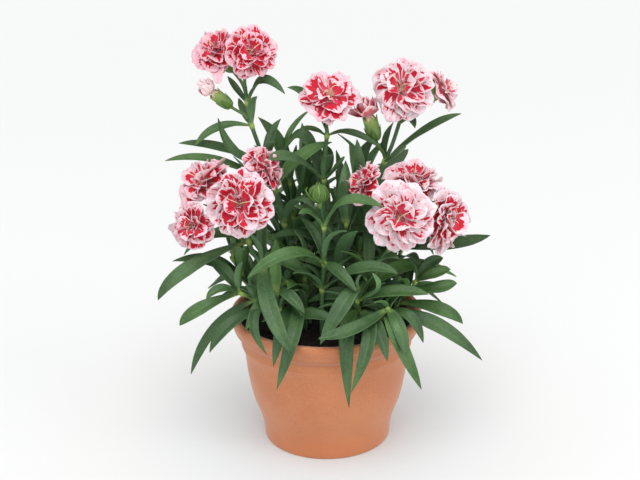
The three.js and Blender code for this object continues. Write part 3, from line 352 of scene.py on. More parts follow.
FLOWER_STEM = dict(thickness=3.1, taper=0.85, width=10, leaf=(62, 44), climb=(22, 54), roll=0.5, side=0.75)
SHOOT = dict(thickness=2.7, taper=0.8, width=11, leaf=(62, 46), climb=(4, 56), roll=0.7, side=0.66)
BACK_SHOOT = dict(SHOOT, leaf=(60, 52), climb=(8, 66), roll=-0.5, side=0.9)
STEMS = {}


def plan_stem(kind, name, turn, joints, path, *shaped, **own):
    """Plans a stem. turn is the azimuth of its lowest pair of leaves, joints are the heights of its
    joints and path its points from the compost up. Each listed leaf is given by the height of its
    joint, its middle, tip and width and, where it sags under its own weight, by how much."""
    STEMS[name] = dict(kind, name=name, turn=turn, joints=joints, path=path, shaped=shaped, **own)


plan_stem(
    FLOWER_STEM, "stem_left_tall", 20, [128, 150, 174, 190, 218, 233],
    [(-16, 8, 88), (-21, 9, 112), (-25.3, 10, 139), (-33.3, 11, 174), (-41.4, 12, 198), (-48.1, 12, 219.7),
     (-50.2, 13, 233), (-51.5, 16, 244)],
    (218, (-69.5, 10, 222), (-84.7, 4, 206.7), 6.5, 4.5), (218, (-53, 24, 224), (-57, 34, 231), 5),
    (233, (-39.9, 8, 249.3), (-25.1, 2, 241.3), 7), (233, (-57, 18, 241), (-63, 21, 249), 4.5),
    (190, (-60, 6, 203), (-68.9, 4, 225.4), 7.5), (190, (-68, 12, 205), (-95.3, 4, 208.7), 6.5, 1.8),
    (174, (-70, 6, 199), (-103.8, -4, 199.2), 6.5, 3),
)
plan_stem(
    FLOWER_STEM, "stem_mid_tall", 75, [106, 128, 152, 180, 210],
    [(0, 13, 88), (-0.6, 13, 130), (-0.6, 13, 180), (0.3, 14, 197), (1.7, 14, 211), (1.4, 15, 216)],
    (210, (-7, 12, 216), (-16, 10, 216.4), 4, 1), (210, (18.1, 8, 216.5), (37, 3, 204), 5, 3),
    (180, (-22.7, 2, 199.4), (-39.4, -6, 200.4), 9.5), (180, (7, 8, 190), (13, 2, 199), 7),
    (152, (-11, 22, 205), (-28, 24, 195), 9.5),
)
plan_stem(
    FLOWER_STEM, "stem_right_tall", 100, [106, 126, 148, 168, 192],
    [(17, 8, 88), (21, 9, 120), (29, 11, 160), (35, 13, 180), (40.1, 14, 192.7), (44.8, 16, 202.5),
     (50.5, 20, 219)],
    (192, (66.1, 12, 216), (89, 6, 226), 7, 2.3), (192, (47, 6, 199.5), (53, 1, 206), 8),
    (168, (25, 15, 192), (34, 15, 208), 8), (168, (45, 30, 182), (58, 48, 190), 9),
)
plan_stem(
    FLOWER_STEM, "stem_left_low", 200, [104, 122, 136, 151],
    [(-14, -14, 88), (-20, -20, 106), (-26.2, -26, 123), (-41.4, -29, 136.4), (-49, -28, 149),
     (-52, -22, 160)],
    (151, (-89.6, -34, 138.5), (-109.2, -36, 114.8), 10.5, 3.2),
    (151, (-74, -22, 154), (-93, -18, 139), 6), (136, (-36, -63, 121), (-22.6, -77, 95), 11),
    (122, (-46, -54, 112), (-38, -68, 90), 7), (122, (-40, -42, 117), (-52, -53, 100), 7.5),
    (104, (-27, -52, 106), (-34, -71, 83), 8.5), (104, (-20, -58, 104), (-32, -75, 69), 9.5),
)
plan_stem(
    FLOWER_STEM, "stem_right_low", 10, [104, 122, 143],
    [(15, -12, 88), (21, -16, 108), (33, -20, 130), (43, -19, 144), (47, -16, 152)],
    (143, (80, -10, 144), (108, -14, 149), 9.5, 2.4), (143, (62, -8, 143), (72, -4, 132), 7),
)
plan_stem(
    FLOWER_STEM, "stem_front_bud", 0, [117, 136, 161],
    [(-3, -27, 88), (-2.7, -27, 117), (-1.2, -28, 137), (-1, -29, 161), (-3.4, -29.5, 177)],
    (161, (12.3, -38, 182), (36, -49, 181), 8.5), (161, (-9, -35, 173), (-17, -40, 174), 6),
    (136, (-22.8, -45, 150), (-49.8, -58, 138), 9), (136, (7, -43, 137), (19, -55, 127), 8.5),
    (117, (22, -44, 139), (45.4, -53, 138), 8.5),
)
plan_stem(
    SHOOT, "shoot_front_left", 160, [104, 112, 119],
    [(-27, -20, 88), (-36, -27, 102), (-47, -33, 113), (-57, -37, 120)],
    (119, (-81.7, -41, 116.5), (-95.1, -43, 99.6), 9, 6), (119, (-66, -27, 131), (-76.5, -21, 137.5), 8.5),
    (119, (-68, -42, 125), (-77, -46, 119), 6), (112, (-73, -31, 99), (-90.4, -34.3, 60.4), 7.9, 6.5),
    (104, (-60, -44, 103), (-76, -49, 83), 9),
)
plan_stem(
    SHOOT, "shoot_front_right", 20, [97, 106, 115, 126],
    [(21, -26, 88), (21, -34, 102), (20, -41, 114), (20, -45, 126)],
    (126, (11, -60, 124), (-4.3, -71, 103), 11), (115, (42, -45, 123), (65.6, -44, 120), 9.5),
    (115, (33, -48, 127), (29, -51, 138), 7.5), (106, (31, -56, 104), (38, -71, 86), 9.5),
    (97, (13, -58, 103), (13.6, -76.2, 56), 10), (106, (27, -64, 102), (15, -82, 70), 9.5),
    (106, (13, -56, 107), (9.4, -70, 95), 8),
)
plan_stem(
    SHOOT, "shoot_right_front", 30, [98, 105, 110],
    [(35, -19, 88), (38, -30, 98), (40, -39, 106), (39.5, -45, 111)],
    (105, (38, -62, 100), (55, -64, 60), 10.5), (110, (46, -58, 103), (50, -67, 88), 9),
    (105, (53, -48, 107), (62, -53, 90), 7.5), (98, (68, -38, 105), (102, -40, 71), 10.5, 7),
    (110, (14, -66, 108), (-9, -70, 104), 9),
)
plan_stem(
    SHOOT, "shoot_right", 60, [98, 108, 118],
    [(43, -3, 88), (50, -9, 102), (57, -15, 113), (60, -17, 119)],
    (118, (68, -12, 128), (78, -9, 131.5), 8.5), (118, (71, -20, 125), (82, -19, 127), 8.5),
    (108, (74, -18, 119), (87, -14, 115), 9.5, 5), (98, (73, -24, 112), (90, -28, 92), 9.5, 10),
)
plan_stem(
    SHOOT, "shoot_left", 120, [98, 110, 121, 132],
    [(-42, 0, 88), (-48, -3, 104), (-57, -6, 122), (-63, -8, 134)],
)
plan_stem(
    BACK_SHOOT, "shoot_back_left", 40, [98, 112, 128, 146],
    [(-33, 26, 88), (-39, 31, 108), (-46, 36, 132), (-50, 38, 150)],
)
plan_stem(
    BACK_SHOOT, "shoot_back_mid", 10, [98, 114, 134, 156],
    [(-8, 36, 88), (-10, 41, 110), (-12, 46, 138), (-13, 47, 160)],
)
plan_stem(
    BACK_SHOOT, "shoot_back_right", 70, [98, 112, 130, 150],
    [(14, 36, 88), (20, 41, 108), (27, 44, 134), (30, 45, 154)],
)
plan_stem(
    BACK_SHOOT, "shoot_far_right", 15, [98, 110, 124, 138],
    [(38, 20, 88), (45, 23, 106), (53, 25, 126), (57, 25, 142)],
)
plan_stem(
    BACK_SHOOT, "shoot_rear_left", 60, [97, 106, 115, 123],
    [(-19, 40, 88), (-24, 46, 102), (-29, 51, 114), (-31, 53, 124)],
    leaf=(60, 44), climb=(-8, 44),
)
plan_stem(
    BACK_SHOOT, "shoot_rear_right", 106, [97, 106, 113, 119],
    [(25, 37, 88), (31, 43, 102), (37, 48, 113), (39, 50, 122)],
    leaf=(60, 44), climb=(-8, 44),
)
plan_stem(
    SHOOT, "shoot_inner_left", 85, [104, 124, 148, 172],
    [(-12, 24, 88), (-17, 27, 120), (-22, 30, 150), (-24, 31, 176)],
    (148, (-14, 27, 188), (-17.4, 24, 213), 9), width=12, leaf=(62, 52), climb=(34, 66), side=1,
)
plan_stem(
    SHOOT, "shoot_inner_front", 30, [104, 120, 138, 156],
    [(5, -2, 88), (7, -6, 112), (12, -9, 140), (14, -10, 158)],
    width=12, leaf=(60, 50), climb=(28, 66), side=1,
)
plan_stem(
    SHOOT, "shoot_inner_right", 20, [108, 126, 144, 162],
    [(27, 20, 88), (25, 16, 114), (24, 12, 142), (24, 11, 164)],
    width=12, leaf=(60, 48), climb=(30, 68), side=1,
)
plan_stem(
    SHOOT, "shoot_low_mid", 150, [97, 108, 120, 131],
    [(-11, -9, 88), (-13, -13, 104), (-14, -16, 120), (-14, -17, 132)],
    leaf=(44, 40), climb=(14, 56),
)
plan_stem(
    SHOOT, "shoot_front_mid", 130, [98, 110, 122],
    [(-26, -34, 88), (-29, -39, 102), (-31, -42, 114), (-32, -43, 124)],
    (122, (-24, -52, 124), (-14, -58, 114), 8), leaf=(40, 36), climb=(8, 40),
)
STEM_FOOT, STEM_SIDES, STEM_RINGS = 75, 10, 90
SWELLING, SWELLING_REACH, TIP_SHRINK = 0.42, 1.9, 0.6


def line_point(path, share):
    """A point on the smooth line through a path's points, share from 0 at its start to 1."""
    last = len(path) - 1
    k = min(int(last * share), last - 1)
    w = last * share - k
    here, there = path[k], path[k + 1]
    before = path[k - 1] if k > 0 else 2 * here - there
    after = path[k + 2] if k + 2 <= last else 2 * there - here
    leave, arrive = (there - before) / 2, (after - here) / 2
    return (
        here
        + leave * w
        + (3 * (there - here) - 2 * leave - arrive) * w**2
        + (2 * (here - there) + leave + arrive) * w**3
    )


def share_at(path, height):
    """How far along a rising line its height first reaches a height."""
    steps = 60
    for i in range(steps):
        low, high = (line_point(path, (i + k) / steps)[2] for k in (0, 1))
        if high >= height:
            return (i + max(0, (height - low) / (high - low))) / steps
    return 1


def rod_of(rings):
    """An upright rod of unit radius and height, with a number of even rings along it."""
    rod = made_by(bpy.ops.mesh.primitive_cylinder_add, vertices=STEM_SIDES, radius=1, depth=1)
    edit(rod)
    bpy.ops.transform.translate(value=(0, 0, 0.5))
    bpy.ops.mesh.select_mode(type="EDGE")
    bpy.ops.object.mode_set(mode="OBJECT")
    for part in (*rod.data.vertices, *rod.data.polygons):
        part.select = False
    for edge in rod.data.edges:
        low, high = (rod.data.vertices[k].co.z for k in edge.vertices)
        edge.select = abs(high - low) > 0.5
    bpy.ops.object.mode_set(mode="EDIT")
    bpy.ops.mesh.subdivide(number_cuts=rings - 2)
    bpy.ops.mesh.select_mode(type="VERT")
    bpy.ops.object.mode_set(mode="OBJECT")
    shade_smooth(rod)
    return rod


def shade_smooth(piece):
    piece.data.polygons.foreach_set("use_smooth", [True] * len(piece.data.polygons))


def unit(arrows):
    """An arrow, or each of a row of arrows, brought to a length of one."""
    return arrows / np.linalg.norm(arrows, axis=-1, keepdims=True)


def frame_around(axis):
    """Two directions square to an axis."""
    u = unit(np.cross([1.0, 0, 0] if abs(axis[1]) > 0.9 else [0, 1.0, 0], axis))
    return u, np.cross(axis, u)


def bend_rod(rod, centres, radii, young):
    """A copy of the rod laid along points in mm; young is how pale and new it is, or each ring."""
    centres = np.asarray(centres, float)
    run = unit(np.gradient(centres, axis=0))
    side, _ = frame_around(unit(run.mean(axis=0)))
    u = unit(side - (run @ side)[:, None] * run)
    v = np.cross(run, u)
    made = copy_of(rod)
    flat = points_of(made)
    ring = np.rint(flat[:, 2] * (len(centres) - 1)).astype(int)
    around = flat[:, :1] * u[ring] + flat[:, 1:2] * v[ring]
    place_points(made, (centres[ring] + around * np.asarray(radii)[ring, None]) * MM)
    mark(made, "young", np.broadcast_to(young, len(centres))[ring])
    return made


def mark(piece, name, values):
    """Keeps a number for every point of a piece, for its material to read."""
    kept = piece.data.attributes.get(name) or piece.data.attributes.new(name, "FLOAT", "POINT")
    kept.data.foreach_set("value", np.broadcast_to(values, len(piece.data.vertices)).astype(np.float32))


def marked(tree, name):
    """The number that the points of a piece keep under a name."""
    return put(tree, "ShaderNodeAttribute", {}, attribute_name=name)["Fac"]


stem_skin, tree, shader = finish_of("stem skin")
young = marked(tree, "young")
bloom = mottled(tree, paint(82, 118, 76), paint(58, 92, 56), 60, 800)
skin = mixed(tree, young, bloom["Colour"], paint(156, 182, 92))
coat(shader, skin, 0.5, 0.35, bloom["Height"], 0.12, 0.5)
stem_rod = rod_of(STEM_RINGS)
stem_rod.data.materials.append(stem_skin)
shares = np.linspace(0, 1, STEM_RINGS - 1)
for stem in STEMS.values():
    stem["line"] = [np.array(point, float) for point in stem["path"]]
    centres = [line_point(stem["line"], share) for share in shares]
    centres = np.array([(*stem["path"][0][:2], STEM_FOOT), *centres])
    nearness = sum(np.exp(-(((centres[:, 2] - z) / SWELLING_REACH) ** 2)) for z in stem["joints"])
    nearness = np.minimum(nearness, 1)
    taper = 1 + (stem["taper"] - 1) * np.array([0, *shares])
    radii = stem["thickness"] / 2 * taper * (1 + SWELLING * nearness)
    radii[-1] *= TIP_SHRINK
    stem["parts"] = [bend_rod(stem_rod, centres, radii, nearness)]

# ---------------------------------------------------------------- leaves
# Narrow leathery leaves in opposite pairs, blue-green with a waxy bloom, folded along the midrib.
# One flat blade is cut out, and every leaf is a copy of it, folded and bent from its joint, down to
# the short side leaves that sprout between the pairs.

BLADE, SMALL_BLADE = (8, 22), (6, 12)
LEAF_OFFSET, LEAF_THICK = 0.45, 0.36
# Outlines of a leaf: shares of its length, and how wide it is there, as shares of its full width.
SHAPED_LEAF = (
    [0, 0.08, 0.2, 0.34, 0.48, 0.62, 0.76, 0.88, 0.95, 1],
    [0.36, 0.6, 0.86, 0.95, 1, 0.97, 0.84, 0.56, 0.28, 0.02],
)
GROWN_LEAF = (
    [0, 0.12, 0.3, 0.48, 0.68, 0.84, 0.94, 1],
    [0.34, 0.64, 0.95, 0.99, 0.85, 0.52, 0.23, 0.02],
)
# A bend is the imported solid's own if it brings a tip this near, in mm, to one of its corners.
SAME_PLACE = 0.03
# The cross-section of a leaf, in mm: its fold, the groove of its midrib and the waves of its edges.
FOLD, GROOVE, GROOVE_HALF, WAVES = 1.75, 0.12, 0.12, 0.25
# How far draws carry a leaf from its plan, in degrees or shares, and how it arches and narrows.
AZIMUTH_SPREAD, CLIMB_SPREAD, LENGTH_SPREAD, WIDTH_SPREAD, ROLL_SPREAD = 16, 9, 0.14, 0.14, 0.35
ARCH, ARCH_SPREAD, CHORD, TOP_NARROWER = 0.17, 0.05, 0.93, 0.18
SWINGS = [0, 7, -7, 14, -14, 22, -22, 32, -32, 44, -44]
LIFTS, SHARES = [0, 5, -5, 10, 16, 24], [1, 0.88, 0.74, 0.6]
# Leaves bend clear of each other by a swing about the stem, a lift of the tip and a shorter reach.
BENDS = [(share, lift, math.radians(swing)) for share in SHARES for lift in LIFTS for swing in SWINGS]


def flat_sheet(across, along):
    """A slab with x and z from -1 to 1 and y from 0 to 1, its underside a second material."""
    sheet = made_by(bpy.ops.mesh.primitive_grid_add, x_subdivisions=across, y_subdivisions=along, size=2)
    edit(sheet)
    bpy.ops.transform.resize(value=(1, 0.5, 1), center_override=(0, 0, 0))
    bpy.ops.transform.translate(value=(0, 0.5, 0))
    bpy.ops.object.mode_set(mode="OBJECT")
    faces = sheet.modifiers.new("two faces", "SOLIDIFY")
    faces.thickness, faces.offset = 2, 0
    bpy.ops.object.modifier_apply(modifier=faces.name)
    for face in sheet.data.polygons:
        face.material_index = 1 if face.normal.z < -0.5 else 0
        face.use_smooth = True
    return sheet


def leaf_skin(name, light, dark, rib, rough, rimmed=0.15):
    """The finish of one face of a leaf: pale along midrib and edges, yellow-green at its base."""
    made, tree, shader = finish_of(name)
    along_it = put(tree, "ShaderNodeUVMap", {}, uv_map="UVMap")[0]
    split = put(tree, "ShaderNodeSeparateXYZ", {0: along_it})
    across = calc(tree, "ABSOLUTE", calc(tree, "MULTIPLY_ADD", split["X"], 2, -1))
    grown = marked(tree, "grown")
    waxy = mottled(tree, light, dark, 45, 700)
    surface = over(tree, waxy["Colour"], dark, grown, 0.4)
    surface = over(tree, surface, paint(92, 138, 58), step(tree, grown, 0.5, 0), 0.55)
    stretched = put(tree, "ShaderNodeMapping", {"Vector": along_it, "Scale": (34, 1.6, 1)})[0]
    veins = noisy(tree, stretched, 1, 2)
    surface = over(tree, surface, light, step(tree, veins, 0.5, 0.75), 0.3)
    pale = calc(tree, "MAXIMUM", step(tree, across, 0.08, 0.01), step(tree, across, 0.88, 0.99))
    surface = over(tree, surface, rib, pale, rimmed)
    surface = over(tree, surface, paint(150, 176, 96), step(tree, split["Y"], 0.14, 0), 0.75)
    coat(shader, surface, rough, 0.4, calc(tree, "MULTIPLY_ADD", veins, 0.7, waxy["Height"]), 0.18)
    return made


leaf_face = leaf_skin("leaf face", paint(83, 115, 70), paint(52, 82, 46), paint(112, 142, 96), 0.46)
leaf_underside = leaf_skin(
    "leaf underside", paint(100, 136, 92), paint(74, 108, 70), paint(130, 160, 116), 0.6
)
blade, small_blade = flat_sheet(*BLADE), flat_sheet(*SMALL_BLADE)
for sheet in (blade, small_blade):
    sheet.data.materials.append(leaf_face)
    sheet.data.materials.append(leaf_underside)


def shaped_leaf(stem, row, seed):
    """A listed leaf, from its row in the plan of its stem."""
    height, middle, tip, width, *sag = row
    base = line_point(stem["line"], share_at(stem["line"], height))
    middle, tip = np.array(middle, float), np.array(tip, float)
    aside = math.atan2(tip[0] - base[0], abs(tip[1] - base[1]))
    leave = np.array([middle[0] - base[0], middle[1] - base[1], 0])
    return dict(
        base=base, middle=middle, tip=tip, outline=SHAPED_LEAF, width=width, least=0.3, sag=sum(sag),
        roll=0.7 * math.sin(aside) + 0.15 * draw(seed, 3),
        reach=math.hypot(tip[0] - base[0], tip[1] - base[1]),
        leave=unit(leave),
    )


def first_azimuth(stem, order, shaped):
    """Where the first leaf of a joint points, and which listed leaves the joint has."""
    sisters = [leaf for leaf in shaped if abs(leaf["base"][2] - stem["joints"][order]) < 3]
    if sisters:
        return math.degrees(math.atan2(sisters[0]["leave"][1], sisters[0]["leave"][0])), sisters
    return stem["turn"] + order * 90, sisters


def grown_leaf(base, azimuth, length, climb, width, rolls, key):
    """A leaf that leaves base by its azimuth and climb, arched, of a length and width in mm."""
    arch = length * (ARCH + ARCH_SPREAD * draw(key, 5))
    heading = np.array([math.cos(azimuth), math.sin(azimuth), 0])
    chord = heading * math.cos(climb) + np.array([0, 0, math.sin(climb)])
    tip = base + chord * length * CHORD
    bow = np.array([0, 0, arch * math.cos(climb)]) - heading * arch * math.sin(climb) * 0.8
    return dict(
        base=base, middle=(base + tip) / 2 + bow, tip=tip, outline=GROWN_LEAF, width=width,
        roll=rolls * heading[0] + ROLL_SPREAD * draw(key, 7), reach=length * math.cos(climb), leave=heading,
    )


def grown_leaves(stem, order, seed, shaped):
    """The leaves of a joint that no listed leaf stands for: a pair, a quarter turn on."""
    base = line_point(stem["line"], share_at(stem["line"], stem["joints"][order]))
    share = order / (len(stem["joints"]) - 1)
    first, sisters = first_azimuth(stem, order, shaped)
    leaves = []
    for one in (0, 1)[len(sisters):]:
        key = seed + order * 2 + one
        azimuth = math.radians(first + one * 180 + AZIMUTH_SPREAD * draw(key, 1))
        long, short = stem["leaf"]
        length = (long + (short - long) * share) * (1 + LENGTH_SPREAD * draw(key, 2))
        low, high = stem["climb"]
        climb = math.radians(low + (high - low) * share + CLIMB_SPREAD * draw(key, 4))
        width = stem["width"] * (1 + WIDTH_SPREAD * draw(key, 6)) * (1 - TOP_NARROWER * share)
        leaves.append(grown_leaf(base, azimuth, length, climb, width, stem["roll"], key))
    return leaves


def bent_leaf(leaf, share, lift, swing):
    """The start, pull and tip of a leaf's line once it is bent clear, in mm."""
    base = leaf["base"] + leaf["leave"] * LEAF_OFFSET
    turned = np.array(Matrix.Rotation(swing, 3, "Z"))

    def moved(point):
        arm = (point - base) * share
        flat = math.hypot(arm[0], arm[1])
        return base + turned @ arm + np.array([0, 0, lift * flat / max(leaf["reach"], 1)])

    middle, tip = moved(leaf["middle"]), moved(leaf["tip"])
    return base, 2 * middle - base / 2 - tip / 2, tip


def corners_of(node):
    """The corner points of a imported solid, ready to be looked up."""
    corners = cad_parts[node].data.vertices
    tree = kdtree.KDTree(len(corners))
    for corner in corners:
        tree.insert(corner.co, corner.index)
    tree.balance()
    return tree


def laid_out(leaf, line, seed, across, along, face):
    """Where points of a flat blade lie once it is folded and bent along a leaf's line, in mm."""
    base, bend, tip = line
    bend = bend - np.array([0, 0, 2 * leaf.get("sag", 0)])
    s = along[:, None]
    middle = (1 - s) ** 2 * base + 2 * s * (1 - s) * bend + s**2 * tip
    run = unit(2 * (1 - s) * (bend - base) + 2 * s * (tip - bend))
    heading = math.atan2(tip[1] - base[1], tip[0] - base[0])
    side = np.array([-math.sin(heading), math.cos(heading), 0])
    roll = (leaf["roll"] * np.minimum(1, 2 * along) + 0.12 * draw(seed, 11) * along**2)[:, None]
    kept = run * (run @ side)[:, None] * (1 - np.cos(roll))
    side = side * np.cos(roll) + np.cross(run, side) * np.sin(roll) + kept
    up = unit(np.cross(run, side))
    half = leaf["width"] / 2 * np.interp(along, *leaf["outline"])
    edge = np.abs(across)
    groove = GROOVE * np.exp(-((across / GROOVE_HALF) ** 2))
    fold = np.minimum(half / 3.2, 1) * (FOLD * edge**1.25 - 1.0 - groove)
    wave = WAVES * np.sin(along * 9 + across * 1.5 + seed) * edge**2 * np.minimum(half / 4, 1)
    height = fold + wave + face * LEAF_THICK * (1 - 0.55 * edge)
    return middle + side * (across * half)[:, None] + up * height[:, None]


def blade_at(sheet, leaf, line, seed):
    """A copy of a flat blade folded and bent along a leaf's line."""
    piece = copy_of(sheet)
    place_points(piece, laid_out(leaf, line, seed, *points_of(piece).T) * MM)
    mark(piece, "young", 0)
    mark(piece, "grown", max(0.5 + 0.5 * draw(seed, 12), leaf.get("least", 0)))
    return piece


first_azimuths = {}
for number, stem in enumerate(STEMS.values()):
    corners = corners_of(stem["name"])
    shaped = [shaped_leaf(stem, row, number * 40 + k) for k, row in enumerate(stem["shaped"])]
    leaves = list(shaped)
    for order in range(len(stem["joints"])):
        leaves += grown_leaves(stem, order, number * 100, shaped)
        first_azimuths[number, order] = first_azimuth(stem, order, shaped)[0]
    for k, leaf in enumerate(leaves):
        lines = [bent_leaf(leaf, *bend) for bend in BENDS]
        near = [corners.find(tip * MM)[2] for _, _, tip in lines]
        best = int(np.argmin(near))
        if near[best] < SAME_PLACE * MM:
            stem["parts"].append(blade_at(blade, leaf, lines[best], number * 50 + k))

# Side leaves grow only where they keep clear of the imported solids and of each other. A joint has
# four, each by its turn, its share of the full length and its climb above the joint's pair. Round
# the foot of a stem stand four more, and the tip of a shoot has four by azimuth, climb and length.
SPROUT_CLEAR, SPROUT_APART, SPROUT_FREE = 1.3, 2.08, 0.3
SPROUT_SHARES, SPROUT_SWINGS = (1, 0.8, 0.62, 0.45), (0, 16, -16, 32, -32, 48, -48)
JOINT_SPROUTS = [(90, 1, 14), (270, 1, 14), (45, 0.7, 30), (225, 0.7, 30)]
TIP_SPROUTS = [(90, 74, 22), (270, 70, 20), (10, 82, 15), (190, 80, 13)]
FOOT_SPROUTS, FRONT_OF_POT, STEEPEST, SPROUT_WIDTH, SPROUT_SPREAD = 4, -15, 76, 0.62, 0.08
# The keys of the draws, so that no two kinds of side leaf share a draw.
JOINT_KEYS, FOOT_KEYS, TIP_KEYS, MIDDLE_KEYS = 5000, 6000, 7000, 8000


def solids_tree(nodes):
    """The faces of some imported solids, ready to be looked up."""
    places, faces = [], []
    for node in nodes:
        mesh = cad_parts[node].data
        faces += [[len(places) + k for k in face.vertices] for face in mesh.polygons]
        places += [corner.co.copy() for corner in mesh.vertices]
    return bvhtree.BVHTree.FromPolygons(places, faces)


packed_solids = solids_tree(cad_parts)
probes_at = np.meshgrid([-1.0, 0, 1], np.linspace(SPROUT_FREE, 1, 8))
probe_across, probe_along = (grid.ravel() for grid in probes_at)
sprouted = [np.full((1, 3), 1e6)]


def sprout(stem, tries, key):
    """Grows the first of the leaves tried, each with its line, that is clear, or none."""
    for leaf, line in tries:
        probes = laid_out(leaf, line, key, probe_across, probe_along, 0 * probe_along)
        if any(packed_solids.find_nearest(Vector(p * MM), SPROUT_CLEAR * MM)[0] for p in probes):
            continue
        apart = np.linalg.norm(np.vstack(sprouted)[:, None] - probes[None], axis=2)
        if apart.min() < SPROUT_APART:
            continue
        sprouted.append(probes)
        stem["parts"].append(blade_at(small_blade, leaf, line, key))
        return


def grown_tries(base, azimuth, length, climb, width, key):
    """Ever shorter side leaves swung to one side and the other, azimuth and climb in degrees."""
    for share in SPROUT_SHARES:
        for swing in SPROUT_SWINGS:
            turned, narrowed = math.radians(azimuth + swing), width * share**0.5
            leaf = grown_leaf(base, turned, length * share, math.radians(climb), narrowed, 0, key)
            yield leaf, bent_leaf(leaf, 1, 0, 0)


# Further listed leaves in the middle of the bush: their stem, and then as in its plan.
MIDDLE_LEAVES = [
    ("shoot_back_mid", 156, (-18, 42, 174), (-20, 35, 190), 9),
    ("shoot_back_mid", 156, (-9, 42, 172), (-6, 36, 188), 9),
    ("shoot_back_mid", 134, (0, 44, 158), (6, 40, 184), 10),
    ("shoot_back_mid", 134, (-2, 38, 146), (8, 32, 160), 9),
    ("shoot_back_mid", 134, (-16, 36, 150), (-18, 28, 160), 9),
    ("shoot_back_right", 130, (16, 40, 150), (8, 36, 170), 10),
    ("shoot_back_right", 150, (24, 40, 170), (18, 34, 186), 9),
    ("shoot_inner_left", 172, (-21, 30, 188), (-19, 27, 200), 8),
    ("shoot_inner_right", 126, (16, 22, 142), (7, 28, 156), 9),
    ("shoot_back_right", 130, (14, 42, 156), (9, 38, 182), 10),
    ("shoot_inner_right", 144, (14, 16, 156), (6, 20, 168), 9),
    ("shoot_inner_front", 138, (4, 0, 146), (-4, 4, 150), 8),
    ("stem_mid_tall", 152, (6, 20, 166), (10, 24, 178), 9),
    ("stem_mid_tall", 180, (-2, 22, 192), (-8, 26, 200), 8),
    ("stem_mid_tall", 128, (-10, 18, 134), (-20, 20, 134), 8),
    ("stem_mid_tall", 128, (8, 20, 138), (16, 24, 142), 8),
    ("stem_mid_tall", 213, (-10, 21, 234), (-24, 21, 241), 6),
    ("stem_right_tall", 216, (56, 11, 222), (59, 4, 217), 5.5),
    ("shoot_back_mid", 140, (-5, 52, 168), (-4, 50, 190), 10),
    ("shoot_back_right", 118, (12, 50, 142), (10, 50, 166), 11),
    ("shoot_back_mid", 96, (-3, 46, 112), (-2, 48, 130), 10),
    ("stem_mid_tall", 131, (10, 30, 150), (11.5, 32, 174), 9),
    ("shoot_back_right", 124, (13, 34, 140), (11, 26, 152), 9),
    ("shoot_rear_left", 116, (-24, 48, 128), (-16, 46, 146), 9),
    ("shoot_back_left", 140, (-36, 36, 154), (-31, 32, 162), 9),
]
for k, (name, *row) in enumerate(MIDDLE_LEAVES):
    leaf = shaped_leaf(STEMS[name], row, MIDDLE_KEYS + k)
    sprout(STEMS[name], ((leaf, bent_leaf(leaf, *bend)) for bend in BENDS), MIDDLE_KEYS + k)
for number, stem in enumerate(STEMS.values()):
    last = len(stem["joints"]) - 1
    low, high = stem["climb"]
    for order, height in enumerate(stem["joints"]):
        base = line_point(stem["line"], share_at(stem["line"], height + 0.6))
        steep = low + (high - low) * order / last
        for side, (turn, part, more) in enumerate(JOINT_SPROUTS):
            key = JOINT_KEYS + number * 40 + order * 4 + side
            azimuth = first_azimuths[number, order] + turn + 14 * draw(key, 1)
            length = stem["leaf"][1] * stem["side"] * part * (1 + 0.2 * draw(key, 2))
            climb = min(steep + more, STEEPEST) + 8 * draw(key, 4)
            width = stem["width"] * (SPROUT_WIDTH + SPROUT_SPREAD * draw(key, 6))
            sprout(stem, grown_tries(base, azimuth, length, climb, width, key), key)
    foot = line_point(stem["line"], 0.03)
    for side in range(FOOT_SPROUTS if foot[1] > FRONT_OF_POT else 0):
        key = FOOT_KEYS + number * 4 + side
        azimuth = first_azimuths[number, 0] + 45 + side * 90 + 20 * draw(key, 1)
        length, climb = 38 + 8 * draw(key, 2), 50 + 18 * draw(key, 4)
        sprout(stem, grown_tries(foot, azimuth, length, climb, 7.5, key), key)
    for side, (turn, climb, length) in enumerate(TIP_SPROUTS if stem["taper"] == SHOOT["taper"] else []):
        key = TIP_KEYS + number * 4 + side
        azimuth = turn + first_azimuths[number, last] + 20 * draw(key, 1)
        climb += 5 * draw(key, 4)
        sprout(stem, grown_tries(stem["line"][-1], azimuth, length, climb, 5, key), key)
bpy.data.objects.remove(blade)
bpy.data.objects.remove(small_blade)

# ---------------------------------------------------------------- flower stalks and calyx cups
# Each flower sits in a green cup of five joined sepals, 15 mm long, on a stalk of its own. One
# cup is drawn up with its five teeth pulled out and copied to the foot of every head, and four
# pointed bracts, cut from one flat scale, are wrapped round it.

HEAD = dict(open=1, calyx=1, seat=0.3, petals=(5, 3, 2), fine=1, cream=0.3, parted=2, flat=0, rosy=0.3,
            ragged=0.7, folds=6, extra=())
HEADS = []


def plan_head(name, stem, leaves_at, centre, facing, radius, **own):
    """Plans a head by its centre, facing and radius; its stalk leaves the stem at a height. parted
    is into how many a wide petal is split, and cream is how far up the pale throat reaches."""
    placed = dict(name=name, stem=stem, leaves_at=leaves_at, centre=centre, facing=facing, radius=radius)
    HEADS.append({**HEAD, **placed, **own})


